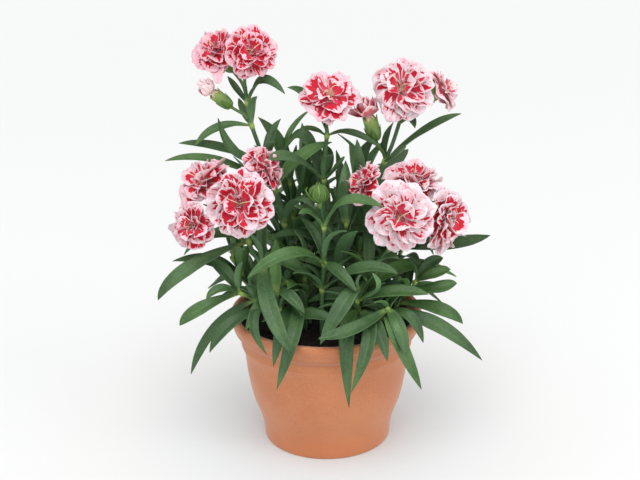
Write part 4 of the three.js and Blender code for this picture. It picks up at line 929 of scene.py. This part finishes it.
plan_head(
    "bloom_left_tall_front", "stem_left_tall", 243, (-46.6, 6, 267.8), (0.18, -0.86, 0.42), 18.2,
    fine=0.94, rosy=0.6, ragged=0.4, folds=13, blush=0.88,
)
plan_head(
    "bloom_left_tall_back", "stem_left_tall", 236, (-69, 22, 266), (-0.42, -0.5, 0.76), 19,
    fine=0.95, rosy=0.6, ragged=0.6, folds=9, blush=0.8,
    extra=[dict(towards=(0.3, -0.4, -1), tip=(1.45, 0.1), width=0.55, blush=0.3)],
)
plan_head(
    "bloom_left_tall_bud", "stem_left_tall", 219.5, (-74.5, 10, 243), (-0.74, -0.1, 0.66), 6.8,
    open=0.05, calyx=0.85, seat=0.9, petals=(4, 2, 0), fine=1.15, parted=1, rosy=0.15, ragged=0.3,
    blush=-0.1,
)
plan_head(
    "bloom_mid_tall", "stem_mid_tall", 215, (3.2, 6, 238.7), (0.02, -0.66, 0.75), 20.5,
    fine=0.95, cream=0.42, parted=1, flat=0.7, rosy=0.4, ragged=1.9, folds=4, blush=0.85,
)
plan_head(
    "bloom_right_tall_bud", "stem_right_tall", 191, (27.8, 8, 230), (-0.25, -0.12, 0.96), 9,
    open=0.25, seat=1, petals=(4, 3, 1), fine=1.15, parted=1, rosy=0.5, ragged=0.4, blush=0.9,
    extra=[dict(towards=(-1, -0.5, 0.4), tip=(1.2, 1.5), width=1.1, blush=0.8),
           dict(towards=(-1, 0.2, -0.1), tip=(1.5, 1.1), width=1, blush=0.6)],
)
plan_head(
    "bloom_right_tall_front", "stem_right_tall", 217, (49.8, 6, 243.6), (-0.1, -0.84, 0.53), 22.5,
    petals=(6, 4, 2), fine=0.93, cream=0.4, flat=0.7, rosy=0.1, ragged=0.6, folds=5, blush=0.7,
)
plan_head(
    "bloom_right_tall_back", "stem_right_tall", 205, (79, 28, 236.9), (0.86, -0.15, 0.48), 17,
    fine=0.9, parted=1, rosy=0.1, ragged=0.8, blush=0.4,
)
plan_head(
    "bloom_left_low_front", "stem_left_low", 158, (-53.7, -42, 182), (-0.02, -0.93, 0.36), 25,
    petals=(6, 4, 2), fine=0.87, rosy=0.15, ragged=0.6, blush=0.9,
)
plan_head(
    "bloom_left_low_back", "stem_left_low", 157, (-79, -15, 188.5), (-0.6, -0.4, 0.7), 21,
    fine=0.94, cream=0.42, rosy=0.35, blush=0.6,
)
plan_head(
    "bloom_left_low_side", "stem_left_low", 153, (-85, -33, 164.5), (-0.5, -0.84, 0.12), 17.5,
    calyx=0.9, fine=0.93, rosy=0.25, blush=0.75,
)
plan_head(
    "bloom_left_low_inner", "stem_left_low", 156, (-39, -8, 196), (0.66, -0.34, 0.66), 16,
    calyx=0.9, parted=3, rosy=0.45, blush=0.85,
)
plan_head(
    "bloom_right_low_front", "stem_right_low", 148, (46.4, -46, 173.5), (0.0, -0.93, 0.36), 22,
    petals=(6, 4, 2), flat=0.5, rosy=0, ragged=0.6, folds=9, blush=0.6,
    extra=[dict(towards=(-0.35, 0, 1), tip=(1.12, 0.02), width=0.95, blush=-0.2),
           dict(towards=(0.45, 0, 1), tip=(1.08, 0.04), width=0.85, blush=-0.2)],
)
plan_head(
    "bloom_right_low_side", "stem_right_low", 149, (77, -24, 164.2), (0.78, -0.6, 0.16), 21.5,
    rosy=0.05, ragged=0.6, folds=12, blush=0.85,
    extra=[dict(towards=(-0.2, 0, -1), tip=(1.08, 0.05), width=1.1, blush=0.3)],
)
plan_head(
    "bloom_right_low_top", "stem_right_low", 151, (57.4, -12, 185.5), (0.08, -0.2, 0.97), 20.5,
    cream=0.4, rosy=0.15, folds=9, blush=0.6,
)
plan_head(
    "bloom_right_low_inner", "stem_right_low", 150, (25, -12, 185), (-0.74, -0.4, 0.54), 15.5,
    calyx=0.9, blush=0.85,
)
STALK_RADIUS, STALK_PULL, STALK_RISE, STALK_RINGS = 1.15, 0.4, 4, 24
STALK_YOUNG, STALK_FLARE = 0.15, (1.12, 1.3, 1.5)
CUP_LENGTH, CUP_SIDES, TEETH = 15, 40, 5
CUP_MOUTH, TOOTH_RISE, TOOTH_FLARE = 4.7, 3.8, 0.5
CUP_WALL = [
    (1, -15.2), (1.7, -15), (2.7, -14.2), (3.5, -12.6), (4.1, -10), (4.5, -7), (4.7, -4), (4.72, -2),
    (4.74, -0.6), (4.3, -0.6), (4.15, -2), (4.05, -3.6), (2, -4),
]
CUP_OUTSIDE = CUP_WALL[:9]


def curve_of_four(points, count):
    """Points along the curve that leaves the first of four points and ends at the last."""
    t = np.linspace(0, 1, count)[:, None]
    a, b, c, d = (np.array(point, float) for point in points)
    return (1 - t) ** 3 * a + 3 * (1 - t) ** 2 * t * b + 3 * (1 - t) * t**2 * c + t**3 * d


SCALE = (6, 10)
SCALE_OUTLINE = ([0, 0.2, 0.45, 0.7, 0.88, 1], [0.7, 0.96, 1, 0.66, 0.24, 0.02])
BRACTS, BRACT_SPAN, BRACT_HALF = 4, (-15.3, -4), 2.9
scale = flat_sheet(*SCALE)
sepal_face = leaf_skin(
    "sepal face", paint(78, 112, 44), paint(54, 86, 32), paint(150, 174, 84), 0.5, 0.6
)
scale.data.materials.append(sepal_face)
scale.data.materials.append(leaf_underside)


def wrapped(foot, axis, size, angle, span, half, wall, flare):
    """A copy of the scale wrapped round an axis from foot, over a wall of radii by height, in mm."""
    low, high = span
    u, v = frame_around(axis)
    piece = copy_of(scale)
    across, along, face = points_of(piece).T
    height = low + (high - low) * along
    radii, heights = np.array(wall, float).T
    out = np.interp(height, heights, radii) + 0.22 + 0.14 * face * (1 - 0.5 * along) + flare * along**2
    turn = angle + across * np.interp(along, *SCALE_OUTLINE) * half / np.maximum(out, 1)
    out = out + 0.14 * half * np.cos(across * math.pi / 2) * np.minimum(1, 4 * along)
    around = np.cos(turn)[:, None] * u + np.sin(turn)[:, None] * v
    place_points(piece, (foot + size * (around * out[:, None] + height[:, None] * axis)) * MM)
    mark(piece, "grown", 0.3)
    mark(piece, "young", 0)
    return piece


cup = drawn_up("calyx_cup", CUP_WALL, CUP_SIDES)
points = points_of(cup) / MM
turn = np.arctan2(points[:, 1], points[:, 0])
tooth = 1 - np.abs((turn / math.tau * TEETH + 0.5) % 1 - 0.5) * 2
rim = np.clip((points[:, 2] + 3.8) / 3.2, 0, 1) * (np.hypot(points[:, 0], points[:, 1]) > 3)
points[:, 2] += rim**2 * TOOTH_RISE * tooth**0.8
out = 1 + rim**2 * tooth * TOOTH_FLARE / CUP_MOUTH
ridge = 1 + 0.02 * np.cos(turn * TEETH * 4) * (1 - rim)
points[:, :2] *= (out * ridge)[:, None]
shade_smooth(cup)
mark(cup, "young", 0.3 + 0.4 * np.clip((points[:, 2] + 6) / 8, 0, 1))
cup.data.materials.append(stem_skin)
stalk_rod = rod_of(STALK_RINGS)
stalk_rod.data.materials.append(stem_skin)
for head in HEADS:
    stem = STEMS[head["stem"]]
    axis = unit(np.array(head["facing"], float))
    mouth = np.array(head["centre"], float) - axis * head["radius"] * head["seat"]
    foot = mouth - axis * CUP_LENGTH * head["calyx"]
    start = line_point(stem["line"], share_at(stem["line"], head["leaves_at"]))
    below = line_point(stem["line"], share_at(stem["line"], head["leaves_at"] - STALK_RISE))
    pull = np.linalg.norm(start - foot) * STALK_PULL
    bow = (start, start + unit(start - below) * pull, foot - axis * pull, foot + axis * 1.5)
    radii = np.full(STALK_RINGS, STALK_RADIUS * head["calyx"])
    radii[-3:] *= STALK_FLARE
    stem["parts"].append(bend_rod(stalk_rod, curve_of_four(bow, STALK_RINGS), radii, STALK_YOUNG))
    u, v = frame_around(axis)
    head.update(mouth=mouth, axis=axis, u=u, v=v)
    held = copy_of(cup)
    place_points(held, (mouth + points * head["calyx"] @ np.array([u, v, axis])) * MM)
    stem["parts"].append(held)
    for i in range(BRACTS):
        angle, flare = (i + 0.1 * draw(i, head["radius"])) / BRACTS * math.tau, 0.3 + 0.2 * (i % 2)
        bract = wrapped(mouth, axis, head["calyx"], angle, BRACT_SPAN, BRACT_HALF, CUP_OUTSIDE, flare)
        stem["parts"].append(bract)
bpy.data.objects.remove(cup)

# ---------------------------------------------------------------- green bud
# The front stem ends in a bud still closed, a squat ball of pointed green sepals on a short neck.
# Its core is drawn up, and the sepals and the bracts under them are wrapped over it in rings.

BUD_FOOT, BUD_FACING = np.array([-3.6, -29.5, 176]), np.array([-0.06, -0.05, 1])
BUD_WALL = [
    (0.6, -1.6), (1.6, -1.4), (1.7, 1), (2, 2.6), (3.5, 3.3), (4.9, 4.8), (5.5, 6.8), (5.6, 8.6),
    (5.2, 10.6), (4.3, 12.2), (3.1, 13.4), (1.7, 14.2), (0.7, 14.5),
]
# Rings of sepals: how many to a ring, their turn, span, half width and flare; bracts have one turn.
BUD_RINGS = [(5, 0.35, (4, 15.8), 3.9, -0.2), (3, 0.9, (3, 12.6), 3, 0.6), (3, 0, (2.6, 8.2), 2.6, 0.8)]
LONG_BRACTS = [(3.56, (2, 14.4), 2.6, 6.2), (5.9, (2.4, 8.5), 1.8, 2.6)]
bud = drawn_up("green_bud", BUD_WALL, CUP_SIDES)
axis = unit(BUD_FACING)
u, v = frame_around(axis)
place_points(bud, (BUD_FOOT + points_of(bud) / MM @ np.array([u, v, axis])) * MM)
shade_smooth(bud)
bud.data.materials.append(stem_skin)
mark(bud, "young", 0.5)
bud_parts = STEMS["stem_front_bud"]["parts"]
bud_parts.append(bud)
for count, turn, span, half, flare in BUD_RINGS:
    for i in range(count):
        angle = turn + i / count * math.tau + 0.08 * draw(i, half)
        bud_parts.append(wrapped(BUD_FOOT, axis, 1, angle, span, half, BUD_WALL, flare))
for angle, span, half, flare in LONG_BRACTS:
    bud_parts.append(wrapped(BUD_FOOT, axis, 1, angle, span, half, BUD_WALL, flare))
bpy.data.objects.remove(scale)


def filled_by(piece):
    """The faces of a finished piece, ready to be looked up, and the middle and reach of its room."""
    points = points_of(piece)
    middle = (points.min(axis=0) + points.max(axis=0)) / 2
    tree = bvhtree.BVHTree.FromObject(piece, bpy.context.evaluated_depsgraph_get())
    return tree, middle, points.max(axis=0) - middle


filled = []
for name, stem in STEMS.items():
    grown = as_one(name + "_leafy", stem["parts"])
    edit(grown)
    bpy.ops.mesh.remove_doubles(threshold=DOUBLED / 2 * MM)
    bpy.ops.object.mode_set(mode="OBJECT")
    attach(grown, "root")
    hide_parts(name)
    filled.append(filled_by(grown))
bpy.data.objects.remove(stem_rod)

# ---------------------------------------------------------------- flower heads
# Double flowers of thin toothed petals, crimson in the middle and white-pink at the margin. One
# flat petal is cut out; each head is built of copies that are fanned, fluted and set in layers.

PETAL_ACROSS, PETAL_ALONG = 18, 11
PETAL_THICK = 0.16
CLAW_SHARE, CLAW_FOOT, CLAW_OUT = 0.1, (0.9, -1.5), 1.6
PETAL_SHAPE = ([0, 0.1, 0.25, 0.4, 0.55, 0.7, 0.85, 1], [0.1, 0.17, 0.4, 0.64, 0.82, 0.95, 1, 1])
# Crinkles of a petal: each wave's height, its runs across and along the petal, the draw that shifts
# it, and the power by which it grows to the margin. Distances are shares of the head's radius.
CRINKLES = [(0.02, 9, 0, 7, 2), (0.008, 21, 5, 8, 3), (0.02, 3, 5, 9, 1)]
FLUTE, PACKED_FLUTE, CUPPED, CURLED, TEETH_DEPTH, TEETH_FROM = 0.045, 0.05, 0.1, 0.05, 0.016, 0.8
# Layers of main petals, from the outer one in, of an open head and of one still shut.
OPEN_LAYERS = [
    dict(root=3.9, bend=(0.5, 0.36), tip=(1, 0.16), width=1.24, ruffle=1),
    dict(root=4.6, bend=(0.36, 0.52), tip=(0.8, 0.46), width=1.08, ruffle=1.2),
    dict(root=5.4, bend=(0.16, 0.66), tip=(0.46, 0.78), width=0.7, ruffle=1.3),
]
SHUT_LAYERS = [
    dict(root=3.9, bend=(0.75, 0.5), tip=(0.62, 1.55), width=1.1, ruffle=0.7),
    dict(root=4.6, bend=(0.6, 0.7), tip=(0.36, 1.85), width=0.8, ruffle=0.9),
    dict(root=5.4, bend=(0.3, 0.9), tip=(0.15, 2.0), width=0.6, ruffle=0.9),
]
PETAL_SHARES, PETAL_LIFTS, PETAL_SWINGS = (1, 0.9, 0.8, 0.7), (0, 0.1, 0.2, -0.1, 0.32), (0, 8, -8, 16, -16)
PETAL_MOVES = [
    (share, lift, math.radians(swing))
    for share in PETAL_SHARES for lift in PETAL_LIFTS for swing in PETAL_SWINGS
]

petal_sheet = flat_sheet(PETAL_ACROSS, PETAL_ALONG)


def petals_of(head, seed):
    """The main petals of a head, from the spread outer layer to the standing inner one."""
    petals = []
    for layer, count in enumerate(head["petals"]):
        shut, wide = SHUT_LAYERS[layer], OPEN_LAYERS[layer]

        def between(key):
            low, high = np.array(shut[key], float), np.array(wide[key], float)
            return low + (high - low) * head["open"]

        for i in range(count):
            key, odd = seed * 31 + layer * 11 + i, i % 2
            out, up = between("tip")
            petals.append(dict(
                angle=(i + 0.5 * layer + 0.1 * draw(key, 1)) / count * math.tau + seed,
                root=between("root") + 0.05 * odd, bend=between("bend"),
                tip=(out * (1 + 0.06 * draw(key, 2)), up + 0.06 * odd + 0.05 * draw(key, 3)),
                width=between("width") * (1 + 0.08 * draw(key, 4)),
                ruffle=between("ruffle"), phase=odd, key=key,
            ))
    return petals


def petal_line(head, petal, share, lift):
    """The root, pull and tip of a petal's line: its distance out from and up along the axis, in mm."""
    size = head["radius"]
    root = np.array([CLAW_OUT, petal["root"]])
    bend = np.array(petal["bend"]) * size
    tip = np.array([petal["tip"][0] * size * share, (petal["tip"][1] + lift) * size])
    return root, bend, tip


def on_line(line, s):
    """The places on a petal's line at shares of its length, and which way it runs there."""
    root, bend, tip = line
    s = s[:, None]
    at = (1 - s) ** 2 * root + 2 * s * (1 - s) * bend + s**2 * tip
    return at, unit(2 * (1 - s) * (bend - root) + 2 * s * (tip - bend))


def margin_of(head, petal, move):
    """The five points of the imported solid's margin for a petal, in mm."""
    share, lift, swing = move
    line = petal_line(head, petal, share, lift)
    t = np.linspace(-1, 1, 5)
    flute = np.array([1 if (i + petal["phase"]) % 2 == 0 else -1 for i in range(5)])
    at, run = on_line(line, 1 - 0.22 * t**2)
    rise = PACKED_FLUTE * flute * petal["ruffle"] * head["radius"]
    out, up = at[:, 0] - run[:, 1] * rise, at[:, 1] + run[:, 0] * rise
    return around_head(head, petal["angle"] + swing, out, up, t * petal["width"] * head["radius"] / 2)


def around_head(head, angle, out, up, aside):
    """Points in mm from distances out from the head's axis, up along it and aside."""
    outward = head["u"] * math.cos(angle) + head["v"] * math.sin(angle)
    sideways = np.cross(outward, head["axis"])
    return head["mouth"] + np.stack([out, up, aside], axis=1) @ np.array([outward, head["axis"], sideways])


def petal_points(head, petal, move, flat):
    """Points of the flat petal once it is fanned, fluted, toothed and bent to its place, in mm."""
    share, lift, swing = move
    size, key = head["radius"] * head["fine"], petal["key"]
    line = petal_line(dict(head, radius=size), petal, share, lift)
    x, y, face = flat.T
    s = np.clip((y - CLAW_SHARE) / (1 - CLAW_SHARE), 0, 1)
    column = np.rint((x + 1) / 2 * PETAL_ACROSS).astype(int)
    jag = [(1 if k % 2 else -1) * (0.5 + 0.5 * draw(key, 20 + k)) for k in range(PETAL_ACROSS + 1)]
    lobe = 0.04 * np.sin(x * 3.3 + 2 * draw(key, 5)) + 0.02 * np.sin(x * 8 + 3 * draw(key, 6))
    tooth = TEETH_DEPTH * np.array(jag)[column] * np.clip((s - TEETH_FROM) / (1 - TEETH_FROM), 0, 1) ** 2
    tooth = head["ragged"] * (tooth + lobe * s**2)
    at, run = on_line(line, s * (1 - 0.34 * s * np.abs(x) ** 2.3 + tooth))
    flute = 1 if petal["phase"] == 0 else -1
    rise = FLUTE * flute * petal.get("flute", 1) * np.cos(math.tau * x) * s**1.5
    for height, across, along, shift, growth in CRINKLES:
        rise += height * np.sin(x * across + s * along + 3 * draw(key, shift)) * s**growth
    rise += petal.get("cup", CUPPED) * x**2 * s + CURLED * draw(key, 10) * s**4
    rise = rise * petal["ruffle"] * size + face * PETAL_THICK * (1 - 0.4 * s)
    aside = x * petal["width"] * size / 2 * np.interp(s, *PETAL_SHAPE)
    turn = petal.get("twist", 0) * s
    rise, aside = rise + aside * np.sin(turn), aside * np.cos(turn)
    claw = np.clip(1 - y / CLAW_SHARE, 0, 1)[:, None]
    at = at + claw * (np.array(CLAW_FOOT) - at)
    out, up = at[:, 0] - run[:, 1] * rise, at[:, 1] + run[:, 0] * rise
    return around_head(head, petal["angle"] + swing, out, up, aside)


def petal_at(head, petal, move):
    """A copy of the flat petal, bent to its place and marked with its own colours."""
    piece, key = copy_of(petal_sheet), petal["key"]
    place_points(piece, petal_points(head, petal, move, points_of(petal_sheet)) * MM)
    mark(piece, "petal", (draw(key, 12) + 1) / 2)
    mark(piece, "blush", petal.get("blush", head["blush"]) + 0.15 * draw(key, 13))
    mark(piece, "cream", head["cream"])
    mark(piece, "rosy", head["rosy"])
    return piece


WIDE_PETAL, WIDE_OPEN, SPOON_WIDTH, SPOON_CUP, SPOON_TWIST = 0.75, 0.6, 1.24, 0.2, 0.3
# The keys of the draws, so that parted and filling petals share none with the main ones.
SPOON_KEYS, FILL_KEYS = 300, 1000


def parted(head, petal):
    """The spoon-shaped petals that a wide petal is parted into, side by side."""
    count = head["parted"] if petal["width"] > WIDE_PETAL else 1
    if count == 1:
        return [petal]
    spoons = []
    for i in range(count):
        key = petal["key"] + SPOON_KEYS + 50 * i
        out, up = petal["tip"]
        up = up * (1 - 0.45 * head["flat"]) + 0.07 * draw(key, 14) + 0.03
        spoons.append(dict(
            petal, key=key, width=petal["width"] * SPOON_WIDTH / count * (1 + 0.1 * draw(key, 2)), flute=0.4,
            angle=petal["angle"] + (i - (count - 1) / 2) * petal["width"] / count + 0.05 * draw(key, 1),
            tip=(out * (1 + 0.07 * draw(key, 4)), up),
            cup=SPOON_CUP + 0.08 * draw(key, 3), twist=SPOON_TWIST + 0.15 * draw(key, 15),
        ))
    return spoons


# Further petals between the main ones: how many, or 0 for the head's own count of folds, then as a
# layer, and how far they are twisted on edge.
FILL_OPEN = [
    (4, dict(root=3.5, bend=(0.46, 0.26), tip=(0.93, 0.05), width=0.9, ruffle=1.0), 0.2),
    (3, dict(root=4.8, bend=(0.3, 0.5), tip=(0.62, 0.5), width=0.6, ruffle=1.1), 0.6),
    (0, dict(root=4.6, bend=(0.1, 0.34), tip=(0.3, 0.5), width=0.34, ruffle=1.2), 1.2),
]
FILL_SHUT = [
    (3, dict(root=3.7, bend=(0.7, 0.5), tip=(0.5, 1.5), width=1.0, ruffle=0.8), 0.2),
    (3, dict(root=4.2, bend=(0.5, 0.7), tip=(0.25, 1.9), width=0.7, ruffle=1.0), 0.5),
]


def filling_of(head, seed):
    """The petals that fill a head between its main ones."""
    petals = []
    for layer, (count, kind, twist) in enumerate(FILL_OPEN if head["open"] > WIDE_OPEN else FILL_SHUT):
        count = count or head["folds"]
        for i in range(count):
            key = FILL_KEYS + seed * 37 + layer * 13 + i
            out, up = kind["tip"]
            petals.append(dict(
                kind, key=key, phase=i % 2, twist=twist * draw(key, 4),
                angle=(i + 0.5 + 0.35 * layer + 0.2 * draw(key, 1)) / count * math.tau + seed,
                tip=(out * (1 + 0.1 * draw(key, 2)), up * (1 - 0.4 * head["flat"]) + 0.07 * draw(key, 3)),
                width=kind["width"] * (1 + 0.12 * draw(key, 15)),
            ))
    return petals


def petal_skin(name, crimson, rose, margin, flush):
    """One face of a petal: a flame of colour from the claw, torn into a pale margin, and flecks."""
    made, tree, shader = finish_of(name)
    flat = put(tree, "ShaderNodeUVMap", {}, uv_map="UVMap")[0]
    split = put(tree, "ShaderNodeSeparateXYZ", {0: flat})
    along = split["Y"]
    own, blush, cream, rosy = (marked(tree, name) for name in ("petal", "blush", "cream", "rosy"))

    def streaks(wide, long, offset, detail):
        """Noise drawn out along the petal, at a place of its own for every petal."""
        shift = {"X": times(tree, own, 97 + offset), "Z": times(tree, own, 41 + offset)}
        shift = put(tree, "ShaderNodeCombineXYZ", shift)[0]
        drawn = {"Vector": flat, "Location": shift, "Scale": (wide, long, 1)}
        return noisy(tree, put(tree, "ShaderNodeMapping", drawn)[0], 1, detail)

    broad, fine, flecks = streaks(3, 1.2, 0, 2), streaks(10, 2.0, 13, 3), streaks(22, 7, 29, 2)
    limit = calc(tree, "MULTIPLY_ADD", blush, 0.42, 0.48)
    limit = calc(tree, "ADD", limit, calc(tree, "MULTIPLY_ADD", broad, 0.9, -0.45))
    limit = calc(tree, "ADD", limit, calc(tree, "MULTIPLY_ADD", fine, 0.7, -0.35))
    flame = step(tree, calc(tree, "SUBTRACT", along, limit), 0.015, -0.015)
    inner = step(tree, calc(tree, "MULTIPLY_ADD", fine, -0.5, along), 0.0, 0.5)
    body = mixed(tree, inner, rose, crimson)
    margin = mixed(tree, rosy, margin, flush)
    pale = over(tree, margin, flush, step(tree, broad, 0.4, 0.62), 0.8)
    spot = times(tree, step(tree, flecks, 0.6, 0.66), step(tree, along, 0.5, 0.75))
    pale = over(tree, pale, rose, spot, 0.75)
    surface = mixed(tree, flame, pale, body)
    up_throat = calc(tree, "SUBTRACT", calc(tree, "MULTIPLY_ADD", fine, 0.3, along), cream)
    surface = mixed(tree, step(tree, up_throat, 0.18, 0), surface, paint(222, 190, 168))
    beside = calc(tree, "ABSOLUTE", calc(tree, "MULTIPLY_ADD", split["X"], 2, -1))
    edge = calc(tree, "MAXIMUM", step(tree, along, 0.93, 0.975), step(tree, beside, 0.84, 0.95))
    surface = over(tree, surface, margin, edge, 0.85)
    shade = calc(tree, "MULTIPLY_ADD", own, -0.07, 1)
    surface = put(tree, "ShaderNodeHueSaturation", {"Value": shade, "Color": surface})[0]
    coat(shader, surface, 0.65, 0.25, fine, 0.25)
    return made


# Colours of the two faces: crimson, rose, margin and flush.
PETAL_PAINTS = {
    "petal face": [(200, 28, 52), (226, 92, 116), (241, 229, 234), (240, 172, 188)],
    "petal underside": [(212, 108, 120), (226, 154, 160), (244, 228, 228), (234, 184, 188)],
}
for name, paints in PETAL_PAINTS.items():
    petal_sheet.data.materials.append(petal_skin(name, *[paint(*each) for each in paints]))
claws, tree, shader = finish_of("packed claws")
packed = mottled(tree, paint(238, 226, 194), paint(214, 190, 158), 400, 1500)
coat(shader, packed["Colour"], 0.7, 0.5)
PLUG_RINGS, PLUG_FOOT, PLUG_RADIUS = 12, 3, 4
PLUG_SHAPE = ([0, 0.12, 0.3, 0.5, 0.75, 1], [0.2, 0.9, 1, 0.8, 0.5, 0.1])
plug_rod = rod_of(PLUG_RINGS)
plug_rod.data.materials.append(claws)

# Petals keep clear of what else has grown: they are cut shorter, and those that only fill a head
# are swung aside or left out.
PETAL_CLEAR, PETAL_FREE = 0.8, 0.5
CUTS = (1, 0.94, 0.88, 0.82, 0.76, 0.7)
FILL_MOVES = [
    (share, lift, swing) for share in PETAL_SHARES for lift in (0, 0.08) for swing in (0, 0.2, -0.2)
]
flat_petal = points_of(petal_sheet)
outer = flat_petal[(flat_petal[:, 1] > PETAL_FREE) & (flat_petal[:, 2] > 0)]


def set_in(head, petal, moves, trees):
    """The petal, in a list, by the first of some moves that keeps it clear, or an empty list."""
    for move in moves:
        places = [Vector(point * MM) for point in petal_points(head, petal, move, outer)]
        if not any(tree.find_nearest(place, PETAL_CLEAR * MM)[0] for tree in trees for place in places):
            return [petal_at(head, petal, move)]
    return []


def kept_in(head, petal, move, trees):
    """The petal, in a list, cut as little as keeps it clear, or as short as the cuts go."""
    share, lift, swing = move
    moves = [(share * cut, lift, swing) for cut in CUTS]
    return set_in(head, petal, moves, trees) or [petal_at(head, petal, moves[-1])]


# A stray petal that hangs or stands out from its head, and the pale styles in an open flower.
WILD = dict(root=3.7, bend=(0.55, 0.3), ruffle=0.7, phase=0, flute=0.4, cup=0.1)
STYLES, STYLE_TURN, STYLE_RADII = 2, 2.6, (0.3, 0.16)
for number, head in enumerate(HEADS):
    seed = number + 1
    corners = corners_of(head["name"])
    room = (head["radius"] * 2 + 5) * MM
    trees = []
    for tree, middle, reach in filled:
        if (np.abs(middle - head["mouth"] * MM) < reach + room).all():
            trees.append(tree)
    trees.append(solids_tree(["pot", *[one["name"] for one in HEADS[seed:]]]))
    parts = []
    for petal in petals_of(head, seed):
        near = []
        for move in PETAL_MOVES:
            distances = [corners.find(Vector(point * MM))[2] for point in margin_of(head, petal, move)]
            near.append(sum(distance < SAME_PLACE * MM for distance in distances))
        best = int(np.argmax(near))
        for spoon in parted(head, petal):
            parts += kept_in(head, spoon, PETAL_MOVES[best], trees)
    for petal in filling_of(head, seed):
        parts += set_in(head, petal, FILL_MOVES, trees)
    for i, wild in enumerate(head["extra"]):
        towards = np.array(wild["towards"], float)
        angle = math.atan2(towards @ head["v"], towards @ head["u"])
        stray = dict(WILD, **wild, angle=angle, key=seed * 53 + i)
        parts += kept_in(head, stray, (1, 0, 0), trees)
    for i in range(STYLES if head["open"] > WIDE_OPEN else 0):
        angle = seed + i * STYLE_TURN
        out = head["u"] * math.cos(angle) + head["v"] * math.sin(angle)
        out = out * (0.3 + 0.1 * draw(seed, 30 + i)) * head["radius"]
        rise = head["axis"] * (0.62 + 0.1 * draw(seed, 40 + i)) * head["radius"]
        start = head["mouth"] + 3 * head["axis"]
        bow = (start, start + rise, start + rise * 1.15 + out * 0.4, start + rise + out)
        style = curve_of_four(bow, PLUG_RINGS)
        parts.append(bend_rod(plug_rod, style, np.linspace(*STYLE_RADII, PLUG_RINGS), 0))
    top = max(0.28 * head["radius"], 5)
    heights = np.linspace(-PLUG_FOOT * head["calyx"], top, PLUG_RINGS)[:, None]
    radii = PLUG_RADIUS * head["calyx"] * np.interp(np.linspace(0, 1, PLUG_RINGS), *PLUG_SHAPE)
    parts.append(bend_rod(plug_rod, head["mouth"] + heights * head["axis"], radii, 0))
    bloom = as_one(head["name"] + "_petals", parts)
    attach(bloom, "root")
    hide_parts(head["name"])
    filled.append(filled_by(bloom))
bpy.data.objects.remove(petal_sheet)
bpy.data.objects.remove(plug_rod)
bpy.data.objects.remove(stalk_rod)

# ---------------------------------------------------------------- floor, light and camera
# A pale studio floor, painted cooler round the pot's foot to cancel the pot's warm bounce light
# and painted brighter far off where the lamps' light falls away, under soft light from above and
# both sides, and a camera that looks down on the plant from the front.

FLOOR_SIZE = 14
floor = made_by(bpy.ops.mesh.primitive_plane_add, size=FLOOR_SIZE)
floor.name = "studio_floor"
pale, tree, shader = finish_of("studio paper")
place = put(tree, "ShaderNodeTexCoord", {})["Object"]
far = put(tree, "ShaderNodeVectorMath", {0: place}, operation="LENGTH")["Value"]
# Painted light: a cool tint near the pot cancels its warm bounce, and the floor turns brighter far off to
# stand in for lamp light that falls away.
painted_floor_light = mixed(tree, step(tree, far, 0.05, 0.16), paint(219, 226, 229), paint(226, 227, 227))
painted_floor_light = mixed(tree, step(tree, far, 0.3, 3), painted_floor_light, paint(243, 243, 243))
coat(shader, painted_floor_light, 0.9, 0.1)
floor.data.materials.append(pale)

sky = bpy.data.worlds.new("studio air")
sky.use_nodes = True
sky.node_tree.nodes["Background"].inputs["Color"].default_value = (1, 1, 1, 1)
sky.node_tree.nodes["Background"].inputs["Strength"].default_value = 0.94
bpy.context.scene.world = sky


def soft_light(name, place, aim, size, power):
    """A square soft light at a place, turned to what it aims at; its size is in m, its power in W."""
    lamp = bpy.data.lights.new(name, "AREA")
    lamp.energy, lamp.size = power, size
    stand = bpy.data.objects.new(name, lamp)
    stand.location = place
    stand.rotation_euler = (Vector(aim) - Vector(place)).to_track_quat("-Z", "Y").to_euler()
    bpy.context.scene.collection.objects.link(stand)


soft_light("key softbox", (-0.2, -1.9, 3.3), (0, 0, 0.1), 2.6, 66)
soft_light("side softbox", (2.2, -1.2, 1.1), (0, 0, 0.15), 1.4, 9)

LOOK_DOWN, LOOK_FROM, LOOK_HEIGHT, LOOK_ASIDE, LOOK_ROLL = 0.3545, 0.8681, 0.14177, -0.003676, -0.0111
LENS_IN_WIDTHS, SENSOR_WIDTH = 1300 / 640, 36
eye = bpy.data.cameras.new("front camera")
eye.sensor_width = SENSOR_WIDTH
eye.lens = LENS_IN_WIDTHS * eye.sensor_width
eye.clip_end = 60
camera = bpy.data.objects.new("front camera", eye)
back, up = LOOK_FROM * math.cos(LOOK_DOWN), LOOK_FROM * math.sin(LOOK_DOWN)
camera.location = (LOOK_ASIDE, -back, LOOK_HEIGHT + up)
tilt = Matrix.Rotation(math.pi / 2 - LOOK_DOWN, 3, "X") @ Matrix.Rotation(LOOK_ROLL, 3, "Z")
camera.rotation_euler = tilt.to_euler()
bpy.context.scene.collection.objects.link(camera)
bpy.context.scene.camera = camera
bpy.context.scene.view_settings.view_transform = "Standard"
